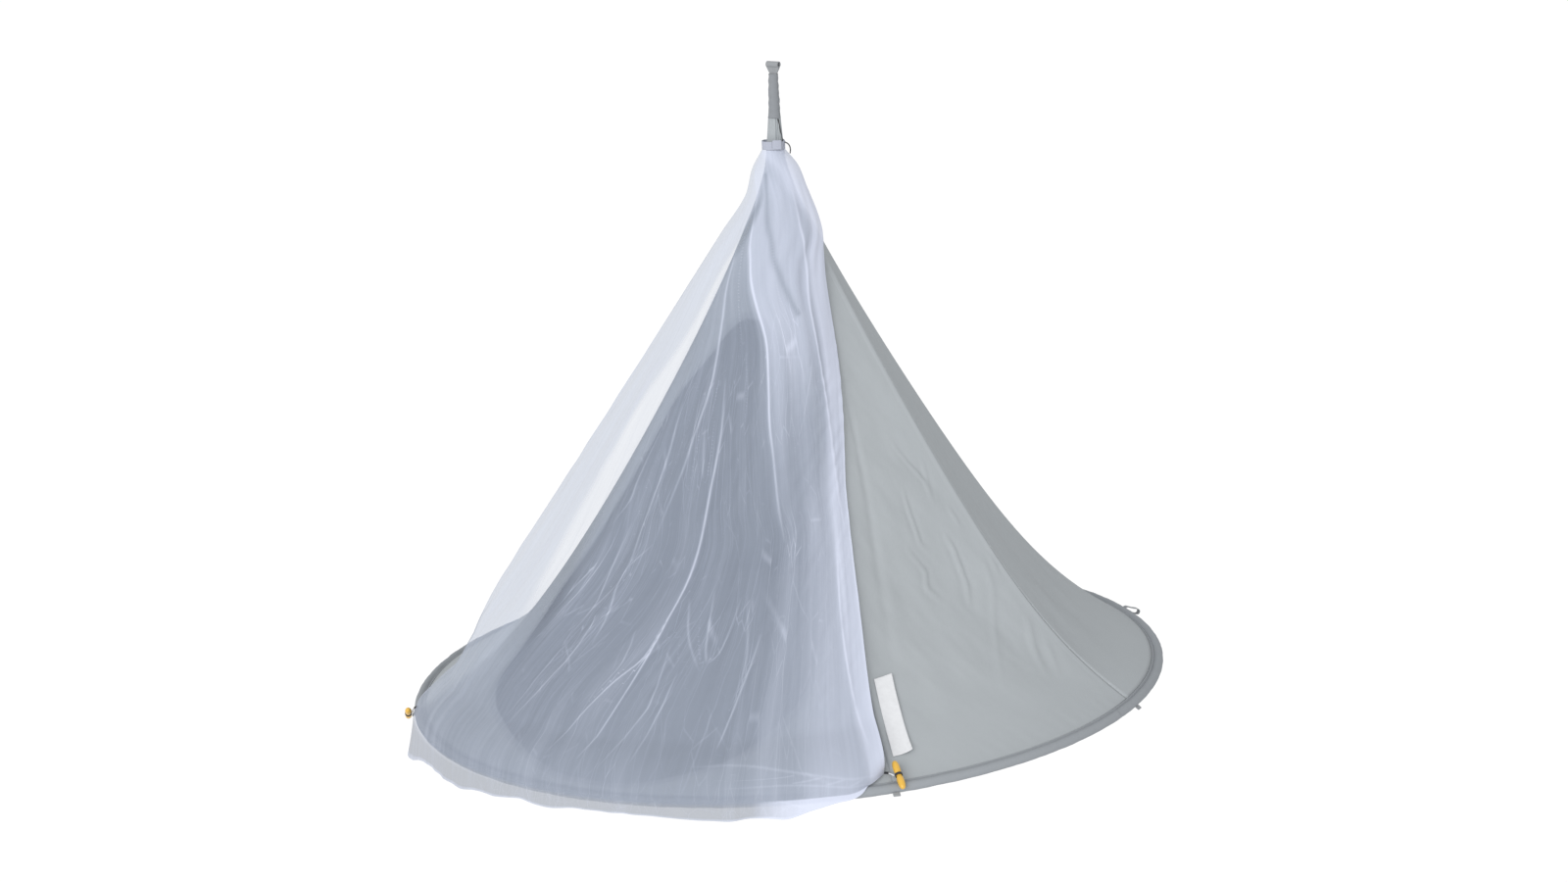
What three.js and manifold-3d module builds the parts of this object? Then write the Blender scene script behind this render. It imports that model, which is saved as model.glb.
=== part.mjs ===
// A round hanging tent on a sprung hoop, with a mosquito net over its door. Millimetres, +Z up.
// The origin is the inner top of the eye in the hanging strap, where a hook carries the tent.
// An azimuth is in degrees from +X towards +Y. The door faces -Y.
import * as THREE from 'three';
import { mergeVertices } from 'three/addons/utils/BufferGeometryUtils.js';
import Module from 'manifold-3d';

const wasm = await Module();
wasm.setup();

const rad = THREE.MathUtils.degToRad;
const lerp = THREE.MathUtils.lerp;
const clamp = THREE.MathUtils.clamp;

// Sizes that all pieces share
const GAP = 0.3;
const CLOTH = 1.5;
const WELD = 0.001;
const HOOP_DROP = 1490;
const TILT = Math.tan(rad(2.79));
const HIGH_SIDE = 34;

// The canopy: seams between its panels, and the profile from the hoop up to the neck
const SEAMS = [-138, -41.5, 6, 53.5, 95.6, 137.7, 179.8, 222];
const RIM_RADIUS = 886.7;
const RIM_RISE = 9.2;
const APEX_RISE = 1285;
const CANOPY_TOP = 1.0677;
const CONE_SHARE = 0.841;
const CONE_POWER = 1.15;
const FLARE_LENGTH = 0.11;
const GORE_HOLLOW = 1.2;
const DOOR_HOLLOW = 0.35;
const HOLLOW_LENGTH = 0.11;
const NECK_RADIUS = 19;
const NECK_TAPER = 0.08;
const NECK_LIMIT = 34;
const LEAN = 10;
const SEAM_GAP = 0.15;
const CANOPY_ROWS = 18;
const ROW_POWER = 1.25;
const GORE_COLUMNS = 6;
const DOOR_UNITS = 2;
const RING_UNITS = DOOR_UNITS + SEAMS.length - 2;
const RING_COLUMNS = RING_UNITS * GORE_COLUMNS;

// The door: its edge by the distance sideways from the panel's middle line and the share of the height
const DOOR_EDGE = [
  { aside: 0, up: 0.007 },
  { aside: 168, up: 0.009 },
  { aside: 330, up: 0.035 },
  { aside: 393, up: 0.076 },
  { aside: 414, up: 0.128 },
  { aside: 382, up: 0.211 },
  { aside: 330, up: 0.336 },
  { aside: 257, up: 0.483 },
  { aside: 185, up: 0.587 },
  { aside: 88, up: 0.688 },
  { aside: 22, up: 0.714 },
  { aside: -28, up: 0.701 },
  { aside: -81, up: 0.652 },
  { aside: -165, up: 0.572 },
  { aside: -225, up: 0.473 },
  { aside: -329, up: 0.301 },
  { aside: -392, up: 0.217 },
  { aside: -448, up: 0.124 },
  { aside: -466, up: 0.078 },
  { aside: -413, up: 0.053 },
  { aside: -289, up: 0.034 },
  { aside: -98, up: 0.012 },
];
const DOOR_CENTRE_UP = 0.33;
const DOOR_SEAM_MARGIN = 2.2;
const DOOR_PANEL_ROWS = 6;
const DOOR_TOP_COLUMNS = 6;
const DOOR_ROW_POWER = 1.5;
const DOOR_SAMPLE_COUNT = 680;
const BINDING_WIDTH = 6;
const BINDING_THICKNESS = 4;

// The hoop: a sprung tube in a cloth sleeve, whose tail takes the canopy's rim
const HOOP_RADIUS = 903;
const TUBE_RADIUS = 11;
const SLEEVE_ANGLES = [97.4, 60, 20, -20, -60, -100, -140, -156.2];
const SLEEVE_TAIL = { radius: 887.05, rise: 9.15 };
const SLEEVE_HALF_FACET = 20;
const FLOOR_RADIUS = 893.85;
const FLOOR_RISE = -6.6;
const FLOOR_SAG = 110;
const FLOOR_RINGS = 4;

// Webbing loops at the feet of the front seams
const LOOP_WIDTH = 16;
const WEBBING = 1.5;
const FREE_LOOP = { azimuth: 53.5, length: 44, height: 15, slope: -18, rise: 2 };
const FLAT_LOOPS = [
  { name: 'hoop_loop_left', azimuth: -139.3 },
  { name: 'hoop_loop_front', azimuth: -41.5 },
  { name: 'hoop_loop_right', azimuth: 6 },
];
const FLAT_LOOP = { reach: 11, thickness: 3, around: -38 };

// The hanging strap, its sleeve and the black cord beside the neck
const EYE = { inner: 4.5, outer: 8, sides: 16 };
const STRAP = {
  headWidth: 34,
  width: 19.4,
  thickness: 5,
  shoulder: -12,
  waist: -26,
  foot: -150,
  overlap: 1,
};
const SLEEVE = { top: -26.3, foot: -129, topInner: 10.4, footInner: 13.6, wall: 1.2, sides: 24 };
const NECK_CORD = {
  radius: 1.25,
  seat: 0.5,
  fromAzimuth: -21,
  toAzimuth: 14,
  from: -131,
  to: -186,
  steps: 8,
};

// The net's collar, its tab and its black pull
const COLLAR = { inner: 26, outer: 28, top: -182, foot: -202, aside: -6.6, sides: 28 };
const TAB = { width: 21, height: 22, thickness: 1.2, top: -178, turn: 37, overlap: 4 };
const PULL = { radius: 1.5, steps: 12 };
const PULL_ROUTE = [
  { azimuth: 12, out: -0.8, z: -185 },
  { azimuth: 10, out: 9, z: -190 },
  { azimuth: 8, out: 14, z: -200 },
  { azimuth: 8, out: 13, z: -211 },
];

// The net, from its collar over the hoop. Down is the share of the way from the collar to the hoop,
// left and right are the azimuths of its side edges, front and side its radii at those edges.
const NET = { thickness: 1.2, clear: 8.5, top: -202.4, underCollar: 0.078, hangPower: 1.3 };
const NET_GRID = { columns: 48, crowding: 1.28, coneRows: 13, wrapRows: 2, hangRows: 3, rowPower: 1.3 };
const NET_SHAPE = [
  { down: 0, left: -150, right: 50, front: 27, side: 27 },
  { down: 0.034, left: -145, right: 48, front: 54, side: 57 },
  { down: 0.078, left: -139, right: 45, front: 73, side: 74 },
  { down: 0.144, left: -138, right: 36, front: 134, side: 105 },
  { down: 0.19, left: -138, right: 6, front: 176, side: 130 },
  { down: 0.24, left: -138, right: -7, front: 222, side: 150 },
  { down: 0.328, left: -138, right: -17.5, front: 302, side: 202 },
  { down: 0.472, left: -138, right: -28.5, front: 435, side: 305 },
  { down: 0.6, left: -138, right: -35.5, front: 552, side: 414 },
  { down: 0.771, left: -138, right: -39, front: 709, side: 583 },
  { down: 0.922, left: -138, right: -41.2, front: 848, side: 774 },
  { down: 1, left: -138, right: -42.5, front: 914.2, side: 914.2 },
];
const NET_OVER_TUBE = 14.3;
const NET_TOUCH_ANGLE = 35.3;
const NET_LEFT_END = { reach: 0.05, radius: 907, rise: 13.3 };
const NET_RIGHT_END = { reach: 0.065, radius: 870.5, rise: 25.5, holding: 3, slip: 3 };

// The net's hem: share of the way along it, its drop below the hoop and how far it stands out
const HEM = [
  { along: 0, drop: 104, out: 20 },
  { along: 0.042, drop: 96, out: 12 },
  { along: 0.1, drop: 68, out: 8 },
  { along: 0.165, drop: 52, out: 4 },
  { along: 0.277, drop: 54, out: 9 },
  { along: 0.32, drop: 46, out: 3 },
  { along: 0.389, drop: 38, out: 6 },
  { along: 0.425, drop: 31, out: 2 },
  { along: 0.482, drop: 35, out: 7 },
  { along: 0.534, drop: 27, out: 2 },
  { along: 0.634, drop: 26, out: 5 },
  { along: 0.7, drop: 31, out: 3 },
  { along: 0.764, drop: 35, out: 8 },
  { along: 0.806, drop: 31, out: 3 },
  { along: 0.848, drop: 35, out: 7 },
  { along: 0.89, drop: 22, out: 4 },
  { along: 0.932, drop: 9, out: 1 },
  { along: 1, drop: 4, out: 0 },
];

// The net's main folds: where each crosses the sheet at three shares of the way down, and its size
const NET_FOLDS = [
  { top: [0.46, 0.03], middle: [0.6, 0.19], foot: [0.81, 0.42], height: 7, width: 16 },
  { top: [0.5, 0.12], middle: [0.68, 0.41], foot: [0.81, 0.66], height: 11, width: 26 },
  { top: [0.5, 0.3], middle: [0.6, 0.62], foot: [0.5, 0.95], height: 14, width: 34 },
  { top: [0.45, 0.28], middle: [0.49, 0.56], foot: [0.37, 0.92], height: 12, width: 30 },
  { top: [0.36, 0.3], middle: [0.39, 0.56], foot: [0.32, 0.84], height: 12, width: 32 },
  { top: [0.62, 0.46], middle: [0.67, 0.66], foot: [0.69, 0.92], height: 9, width: 30 },
  { top: [0.74, 0.55], middle: [0.77, 0.76], foot: [0.74, 0.97], height: 9, width: 28 },
  { top: [0.2, 0.22], middle: [0.2, 0.55], foot: [0.16, 0.9], height: 9, width: 36 },
  { top: [0.08, 0.12], middle: [0.09, 0.45], foot: [0.06, 0.85], height: 8, width: 30 },
];
const FOLD_POWER = 0.7;
const GATHERS = { count: 9, height: 2.2, from: 0.02, to: 0.32 };

// The bare label, sewn along the seam at its left edge: corners by azimuth and share of the height
const LABEL = { thickness: 1, seat: 0.6, columns: 4, rows: 10 };
const LABEL_LIFT = { height: 3.2, power: 1.5, curl: 9, curlPower: 4 };
const LABEL_TOP = { left: -39.9, right: -35.9, up: 0.129 };
const LABEL_FOOT = { left: -40.3, right: -37.2, up: 0.0275 };

// The toggles and what ties the net's corners to them
const TOGGLE = { radius: 8, sides: 12 };
const TOGGLE_PROFILE = [
  { share: 0, height: 38 },
  { share: 0.42, height: 37.2 },
  { share: 0.75, height: 33 },
  { share: 1, height: 20 },
  { share: 0.93, height: 9 },
  { share: 0.775, height: 4 },
];
const BAND = { inner: 6.55, outer: 8.4, width: 6, sides: 12 };
const ELASTIC_RADIUS = 2.6;
const LACE_RADIUS = 1.5;
const CORD_SIDES = 8;
const RIGHT_TOGGLE = { azimuth: -40.81, radius: 897.2, rise: 26.4, slope: -31.6, turn: 0 };
const LEFT_TOGGLE = { azimuth: -138.6, radius: 929, rise: -2, slope: 32, turn: 90 };
const RIGHT_ELASTIC = [
  { azimuth: -42.38, radius: 872.5, rise: 26.6 },
  { azimuth: -42.15, radius: 877.5, rise: 28 },
  { azimuth: -41.98, radius: 882, rise: 28.2 },
];
const RIGHT_LACE = [
  { azimuth: -41.96, radius: 882.6, rise: 28.2 },
  { azimuth: -41.75, radius: 889, rise: 27.8 },
  { azimuth: -41.48, radius: 897, rise: 26.4 },
];
const LEFT_ELASTIC = [
  { azimuth: -138.21, radius: 906, rise: 14.3 },
  { azimuth: -138.33, radius: 910.4, rise: 12.8 },
  { azimuth: -138.45, radius: 914, rise: 9.9 },
];
const LEFT_LACE = [
  { azimuth: -138.48, radius: 914.6, rise: 9.3 },
  { azimuth: -138.55, radius: 918.4, rise: 4.5 },
  { azimuth: -138.6, radius: 918.9, rise: -1 },
];

// Colours and finishes
const FINISH = {
  tent: { color: 0xa3a8ab, roughness: 0.9, metalness: 0 },
  hoop: { color: 0x8d9194, roughness: 0.85, metalness: 0 },
  floor: { color: 0x9aa0a6, roughness: 0.9, metalness: 0 },
  webbing: { color: 0xb0b4b8, roughness: 0.9, metalness: 0 },
  net: { color: 0xe4e6f2, roughness: 0.95, metalness: 0 },
  white: { color: 0xf0f0f2, roughness: 0.8, metalness: 0 },
  black: { color: 0x1c1c1e, roughness: 0.6, metalness: 0 },
  amber: { color: 0xd7ab32, roughness: 0.45, metalness: 0 },
};

const tent = new THREE.Group();

function addPiece(name, geometry, finish) {
  const piece = new THREE.Mesh(geometry, new THREE.MeshStandardMaterial(FINISH[finish]));
  piece.name = name;
  tent.add(piece);
  return piece;
}

function signedVolume(geometry) {
  const position = geometry.attributes.position;
  const index = geometry.index;
  const corners = [new THREE.Vector3(), new THREE.Vector3(), new THREE.Vector3()];
  let volume = 0;
  for (let i = 0; i < index.count; i += 3) {
    corners.forEach((corner, k) => corner.fromBufferAttribute(position, index.getX(i + k)));
    volume += corners[0].dot(corners[1].cross(corners[2]));
  }
  return volume;
}

// Welds the shared vertices and turns the faces outwards.
function sealed(geometry) {
  geometry.deleteAttribute('normal');
  geometry.deleteAttribute('uv');
  const closed = mergeVertices(geometry, WELD);
  if (signedVolume(closed) < 0) {
    const index = closed.index;
    for (let i = 0; i < index.count; i += 3) {
      const first = index.getX(i);
      index.setX(i, index.getX(i + 1));
      index.setX(i + 1, first);
    }
  }
  closed.computeVertexNormals();
  return closed;
}

function solidOf(geometry) {
  const vertProperties = new Float32Array(geometry.attributes.position.array);
  const triVerts = new Uint32Array(geometry.index.array);
  return new wasm.Manifold(new wasm.Mesh({ numProp: 3, vertProperties, triVerts }));
}

function joined(first, second) {
  const mesh = solidOf(first).add(solidOf(second)).getMesh();
  const geometry = new THREE.BufferGeometry();
  geometry.setAttribute('position', new THREE.BufferAttribute(mesh.vertProperties, 3));
  geometry.setIndex(new THREE.BufferAttribute(mesh.triVerts, 1));
  return sealed(geometry);
}

function moved(geometry, placeVertex) {
  const position = geometry.attributes.position;
  for (let i = 0; i < position.count; i += 1) {
    const point = placeVertex(i, position);
    position.setXYZ(i, point.x, point.y, point.z);
  }
  return sealed(geometry);
}

// Splits the squares in one stretch of the index along their other diagonal. A thin piece's two walls
// need the same diagonals, or they cross where the cloth is twisted.
function turnDiagonals(geometry, start, count) {
  const index = geometry.index;
  for (let i = start; i < start + count; i += 6) {
    const [a, b, c, d] = [0, 1, 4, 5].map((k) => index.getX(i + k));
    [a, b, c, a, c, d].forEach((corner, k) => index.setX(i + k, corner));
  }
}

// A sheet: place(across, up, side) with each from 0 to 1, side 1 being the outer face.
function sheet(columns, rows, place) {
  const slab = new THREE.BoxGeometry(1, 1, 1, columns, rows, 1);
  const inner = slab.groups[slab.groups.length - 1];
  turnDiagonals(slab, inner.start, inner.count);
  return moved(slab, (i, at) => place(at.getX(i) + 0.5, at.getY(i) + 0.5, at.getZ(i) + 0.5));
}

// A ring: place(around, corner) with around from 0 to 1 and corner the number of the section's corner.
function ring(steps, corners, place) {
  const torus = new THREE.TorusGeometry(1, 0.4, corners, steps);
  const uv = torus.attributes.uv;
  const back = 6 * steps * Math.ceil(corners / 2);
  turnDiagonals(torus, back, torus.index.count - back);
  return moved(torus, (i) => place(uv.getX(i), Math.round(uv.getY(i) * corners) % corners));
}

function polar(azimuth, radius, z) {
  const angle = rad(azimuth);
  return new THREE.Vector3(radius * Math.cos(angle), radius * Math.sin(angle), z);
}

function tangent(azimuth) {
  return polar(azimuth + 90, 1, 0);
}

// Height of the hoop's tilted plane below a point at this azimuth and radius.
function hoopLevel(azimuth, radius) {
  return TILT * radius * Math.cos(rad(azimuth - HIGH_SIDE)) - HOOP_DROP;
}

function atHoop(azimuth, radius, rise) {
  return polar(azimuth, radius, hoopLevel(azimuth, radius) + rise);
}

// Looks up a column of a table by its first column, in straight lines between the rows.
function lookUp(table, key, value, column) {
  const last = table.length - 1;
  const after = clamp(table.findIndex((row) => row[key] >= value), 1, last);
  const row = value >= table[last][key] ? last : after;
  const share = clamp((value - table[row - 1][key]) / (table[row][key] - table[row - 1][key]), 0, 1);
  return lerp(table[row - 1][column], table[row][column], share);
}

// Canopy
const PANELS = SEAMS.slice(0, -1).map((from, i) => ({
  from,
  to: SEAMS[i + 1],
  hollow: i === 0 ? DOOR_HOLLOW : GORE_HOLLOW,
}));

function panelAt(azimuth) {
  const within = azimuth < SEAMS[0] ? azimuth + 360 : azimuth;
  return { within, panel: PANELS.find((panel) => within <= panel.to) ?? PANELS[PANELS.length - 1] };
}

function canopyRow(row) {
  return CANOPY_TOP * (row / CANOPY_ROWS) ** ROW_POWER;
}

function canopyShift(up) {
  const inside = clamp(up, 0, 1);
  return polar(HIGH_SIDE, LEAN * 4 * inside * (1 - inside), 0);
}

function canopyRadius(azimuth, up) {
  const inside = clamp(up, 0, 1);
  const flare = (1 - CONE_SHARE) * Math.exp(-inside / FLARE_LENGTH);
  const cone = RIM_RADIUS * (CONE_SHARE * (1 - inside) ** CONE_POWER + flare);
  const neck = Math.min(NECK_RADIUS + NECK_TAPER * APEX_RISE * (1 - up), NECK_LIMIT);
  const { within, panel } = panelAt(azimuth);
  const half = rad((panel.to - panel.from) / 2);
  const aside = rad(within - (panel.from + panel.to) / 2);
  const taut = panel.hollow * (1 - Math.exp(-inside / HOLLOW_LENGTH));
  const drawnIn = taut * (1 - Math.cos(half) / Math.cos(aside));
  return Math.hypot(cone * (1 - drawnIn), neck * inside);
}

function canopyHeight(azimuth, up) {
  const rim = RIM_RISE + hoopLevel(azimuth, RIM_RADIUS) + HOOP_DROP;
  return Math.max(1 - up, 0) * rim + up * APEX_RISE - HOOP_DROP;
}

function canopyPoint(azimuth, up) {
  return polar(azimuth, canopyRadius(azimuth, up), canopyHeight(azimuth, up)).add(canopyShift(up));
}

// Towards the inside, square to the cloth's run from the rim to the neck.
function canopyInward(azimuth, up) {
  const step = 0.002;
  const below = canopyPoint(azimuth, Math.max(up - step, 0));
  const above = canopyPoint(azimuth, up + step);
  return above.sub(below).cross(tangent(azimuth)).normalize();
}

function canopyFace(azimuth, up, depth) {
  return canopyPoint(azimuth, up).addScaledVector(canopyInward(azimuth, up), depth);
}

function seamShift(azimuth, across) {
  return tangent(azimuth).multiplyScalar(SEAM_GAP * (1 - 2 * across));
}

function goreGeometry(panel) {
  return sheet(GORE_COLUMNS, CANOPY_ROWS, (across, height, side) => {
    const azimuth = lerp(panel.from, panel.to, across);
    const point = canopyFace(azimuth, canopyRow(height * CANOPY_ROWS), CLOTH * (1 - side));
    return across === 0 || across === 1 ? point.add(seamShift(azimuth, across)) : point;
  });
}

// Door panel: rays from the door's middle run through the door's edge to the panel's own edge.
const DOOR = {
  middle: (SEAMS[0] + SEAMS[1]) / 2,
  half: (SEAMS[1] - SEAMS[0]) / 2,
};

function doorEdgeFlat(row) {
  const reach = canopyRadius(DOOR.middle, row.up) * rad(1);
  const limit = DOOR.half - DOOR_SEAM_MARGIN;
  const aside = clamp(row.aside / reach, -limit, limit) / DOOR.half;
  return new THREE.Vector3(aside, row.up - DOOR_CENTRE_UP, 0);
}

const DOOR_CURVE = new THREE.CatmullRomCurve3(DOOR_EDGE.map(doorEdgeFlat), true, 'centripetal');
const DOOR_SAMPLES = DOOR_CURVE.getPoints(DOOR_SAMPLE_COUNT);

// The door's edge in the direction of a point on the panel's edge.
function doorEdgeTowards(target) {
  const direction = Math.atan2(target.y, target.x);
  let best = DOOR_SAMPLES[0];
  let nearest = Infinity;
  for (const sample of DOOR_SAMPLES) {
    const turn = Math.abs(Math.atan2(sample.y, sample.x) - direction);
    const off = Math.min(turn, 2 * Math.PI - turn);
    if (off < nearest) {
      nearest = off;
      best = sample;
    }
  }
  return best;
}

// The panel's own edge, point by point: along the rim, up one seam, over the top and down the other.
function panelEdge() {
  const edge = [];
  const columns = DOOR_UNITS * GORE_COLUMNS;
  for (let i = 0; i < columns; i += 1) edge.push({ across: i / columns, up: 0 });
  for (let i = 0; i < CANOPY_ROWS; i += 1) edge.push({ across: 1, up: canopyRow(i) });
  for (let i = 0; i < DOOR_TOP_COLUMNS; i += 1) {
    edge.push({ across: 1 - i / DOOR_TOP_COLUMNS, up: CANOPY_TOP });
  }
  for (let i = CANOPY_ROWS; i > 0; i -= 1) edge.push({ across: 0, up: canopyRow(i) });
  return edge;
}

const DOOR_RAYS = panelEdge().map((end) => {
  const outer = new THREE.Vector3(end.across * 2 - 1, end.up - DOOR_CENTRE_UP, 0);
  return { end, outer, inner: doorEdgeTowards(outer) };
});

function doorFace(flat, depth) {
  const azimuth = DOOR.middle + flat.x * DOOR.half;
  return canopyFace(azimuth, flat.y + DOOR_CENTRE_UP, depth);
}

function rayAt(around) {
  return DOOR_RAYS[Math.round(around * DOOR_RAYS.length) % DOOR_RAYS.length];
}

function doorPanelGeometry() {
  const faceCorners = DOOR_PANEL_ROWS + 1;
  return ring(DOOR_RAYS.length, 2 * faceCorners, (around, corner) => {
    const ray = rayAt(around);
    const outside = corner < faceCorners;
    const step = outside ? corner : 2 * faceCorners - 1 - corner;
    const share = 1 - (1 - step / DOOR_PANEL_ROWS) ** DOOR_ROW_POWER;
    const flat = ray.inner.clone().lerp(ray.outer, share);
    const point = doorFace(flat, outside ? 0 : CLOTH);
    const onSeam = step === DOOR_PANEL_ROWS && Math.abs(ray.outer.x) === 1;
    return onSeam ? point.add(seamShift(DOOR.middle + flat.x * DOOR.half, ray.end.across)) : point;
  });
}

// Piping in the door's edge, square to the cloth and to the edge.
function bindingGeometry() {
  const count = DOOR_RAYS.length;
  const half = (BINDING_THICKNESS - CLOTH) / 2;
  return ring(count, 4, (around, corner) => {
    const index = Math.round(around * count) % count;
    const ray = DOOR_RAYS[index];
    const before = doorFace(DOOR_RAYS[(index + count - 1) % count].inner, 0);
    const after = doorFace(DOOR_RAYS[(index + 1) % count].inner, 0);
    const edge = doorFace(ray.inner, 0);
    const along = after.sub(before).normalize();
    const inward = canopyInward(DOOR.middle + ray.inner.x * DOOR.half, ray.inner.y + DOOR_CENTRE_UP);
    const toDoor = new THREE.Vector3().crossVectors(along, inward).normalize();
    const turn = Math.sign(toDoor.dot(doorFace(new THREE.Vector3(), 0).sub(edge)));
    const reach = corner === 0 || corner === 3 ? 2 * GAP : 2 * GAP + BINDING_WIDTH;
    const depth = corner < 2 ? -half : CLOTH + half;
    return edge.addScaledVector(toDoor, turn * reach).addScaledVector(inward, depth);
  });
}

// Hoop and floor
function ringAzimuth(around) {
  const unit = around * RING_UNITS - DOOR_UNITS;
  if (unit <= 0) return lerp(SEAMS[0], SEAMS[1], 1 + unit / DOOR_UNITS);
  const gore = Math.min(Math.floor(unit), SEAMS.length - 3);
  return lerp(SEAMS[gore + 1], SEAMS[gore + 2], unit - gore);
}

function hoopGeometry() {
  const section = SLEEVE_ANGLES.map((angle) => ({
    radius: HOOP_RADIUS + TUBE_RADIUS * Math.cos(rad(angle)),
    rise: TUBE_RADIUS * Math.sin(rad(angle)),
  }));
  section.push(SLEEVE_TAIL);
  return ring(RING_COLUMNS, section.length, (around, corner) => {
    return atHoop(ringAzimuth(around), section[corner].radius, section[corner].rise);
  });
}

function floorGeometry() {
  const levels = 2 * FLOOR_RINGS + 1;
  const ball = new THREE.SphereGeometry(1, RING_COLUMNS, levels);
  const uv = ball.attributes.uv;
  return moved(ball, (i) => {
    const level = Math.round((1 - uv.getY(i)) * levels);
    const upper = level <= FLOOR_RINGS;
    const share = (upper ? level : levels - level) / FLOOR_RINGS;
    const sag = FLOOR_SAG * (1 - share ** 2);
    const rise = FLOOR_RISE - sag - (upper ? 0 : CLOTH);
    return atHoop(ringAzimuth(uv.getX(i)), FLOOR_RADIUS * share, rise);
  });
}

// Pieces cut from an outline in a plane that holds the tent's axis
function radialPiece(outline, width, azimuth) {
  const geometry = new THREE.ExtrudeGeometry(outline, { depth: width, bevelEnabled: false });
  geometry.translate(0, 0, -width / 2);
  geometry.rotateX(Math.PI / 2);
  geometry.rotateZ(rad(azimuth));
  return sealed(geometry);
}

function stadium(from, length, height, slope, Outline) {
  const half = height / 2;
  const along = new THREE.Vector2(Math.cos(rad(slope)), Math.sin(rad(slope)));
  const start = from.clone().addScaledVector(along, half);
  const end = from.clone().addScaledVector(along, length - half);
  const turn = rad(slope);
  const outline = new Outline();
  outline.absarc(start.x, start.y, half, turn + Math.PI / 2, turn + 1.5 * Math.PI, false);
  outline.absarc(end.x, end.y, half, turn - Math.PI / 2, turn + Math.PI / 2, false);
  outline.closePath();
  return outline;
}

function freeLoopGeometry() {
  const { azimuth, length, height, slope, rise } = FREE_LOOP;
  const touch = TUBE_RADIUS + GAP;
  const level = hoopLevel(azimuth, HOOP_RADIUS);
  const from = new THREE.Vector2(HOOP_RADIUS + touch, level + rise);
  const outline = stadium(from, length, height, slope, THREE.Shape);
  const wall = new THREE.Vector2(WEBBING, 0).rotateAround(new THREE.Vector2(), rad(slope));
  const inset = from.clone().add(wall);
  outline.holes.push(stadium(inset, length - 2 * WEBBING, height - 2 * WEBBING, slope, THREE.Path));
  return radialPiece(outline, LOOP_WIDTH, azimuth);
}

function flatLoopGeometry(azimuth) {
  const { reach, thickness, around } = FLAT_LOOP;
  const tab = new THREE.BoxGeometry(reach, LOOP_WIDTH, thickness);
  const flat = TUBE_RADIUS * Math.cos(rad(SLEEVE_HALF_FACET));
  tab.translate(flat + GAP + reach / 2, 0, 0);
  tab.rotateY(rad(-around));
  tab.translate(HOOP_RADIUS, 0, hoopLevel(azimuth, HOOP_RADIUS));
  tab.rotateZ(rad(azimuth));
  return sealed(tab);
}

// Hanging strap: the outline is the side view of its head, in Y and Z, drawn out to its width along X.
function strapGeometry() {
  const half = STRAP.thickness / 2;
  const foot = Math.asin(half / EYE.outer);
  const outline = new THREE.Shape();
  outline.moveTo(-half, STRAP.waist);
  outline.lineTo(half, STRAP.waist);
  outline.absarc(0, -EYE.inner, EYE.outer, foot - Math.PI / 2, 1.5 * Math.PI - foot, false);
  outline.closePath();
  const eye = new THREE.Path();
  eye.absarc(0, -EYE.inner, EYE.inner, 0, 2 * Math.PI, true);
  outline.holes.push(eye);
  const cut = { depth: 1, bevelEnabled: false, curveSegments: EYE.sides };
  const head = moved(new THREE.ExtrudeGeometry(outline, cut), (i, at) => {
    const z = at.getY(i);
    const narrowing = clamp((z - STRAP.shoulder) / (STRAP.waist - STRAP.shoulder), 0, 1);
    const width = lerp(STRAP.headWidth, STRAP.width, narrowing);
    return new THREE.Vector3((at.getZ(i) - 0.5) * width, at.getX(i), z);
  });
  const length = STRAP.waist + STRAP.overlap - STRAP.foot;
  const stem = new THREE.BoxGeometry(STRAP.width, STRAP.thickness, length);
  stem.translate(0, 0, STRAP.foot + length / 2);
  return joined(head, sealed(stem));
}

// A turned piece: its profile as radius and height, closed on itself or on the axis.
function turned(profile, sides) {
  const points = profile.map(([radius, height]) => new THREE.Vector2(radius, height));
  const geometry = new THREE.LatheGeometry(points, sides);
  geometry.rotateX(Math.PI / 2);
  return sealed(geometry);
}

function strapSleeveGeometry() {
  const { top, foot, topInner, footInner, wall, sides } = SLEEVE;
  const profile = [
    [footInner, foot],
    [footInner + wall, foot],
    [topInner + wall, top],
    [topInner, top],
    [footInner, foot],
  ];
  return turned(profile, sides);
}

function collarGeometry() {
  const { inner, outer, top, foot, sides } = COLLAR;
  const profile = [[inner, foot], [outer, foot], [outer, top], [inner, top], [inner, foot]];
  return turned(profile, sides).translate(0, COLLAR.aside, 0);
}

function cordGeometry(points, radius, steps) {
  const section = new THREE.Shape();
  section.absarc(0, 0, radius, 0, 2 * Math.PI, false);
  const path = new THREE.CatmullRomCurve3(points);
  const cut = { steps, extrudePath: path, curveSegments: CORD_SIDES, bevelEnabled: false };
  return sealed(new THREE.ExtrudeGeometry(section, cut));
}

function neckCordGeometry() {
  const { radius, seat, fromAzimuth, toAzimuth, from, to, steps } = NECK_CORD;
  const points = [];
  for (let i = 0; i <= steps; i += 1) {
    const z = lerp(from, to, i / steps);
    const azimuth = lerp(fromAzimuth, toAzimuth, i / steps);
    const neck = canopyRadius(azimuth, (z + HOOP_DROP) / APEX_RISE);
    points.push(polar(azimuth, neck + seat + radius, z));
  }
  return cordGeometry(points, radius, 2 * steps);
}

function tabGeometry() {
  const { width, height, thickness, top, turn, overlap } = TAB;
  const tab = new THREE.BoxGeometry(width, thickness, height);
  tab.translate(width / 2 - overlap, -COLLAR.outer - 2 * GAP - thickness / 2, top - height / 2);
  tab.rotateZ(rad(turn));
  tab.translate(0, COLLAR.aside, 0);
  return sealed(tab);
}

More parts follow.
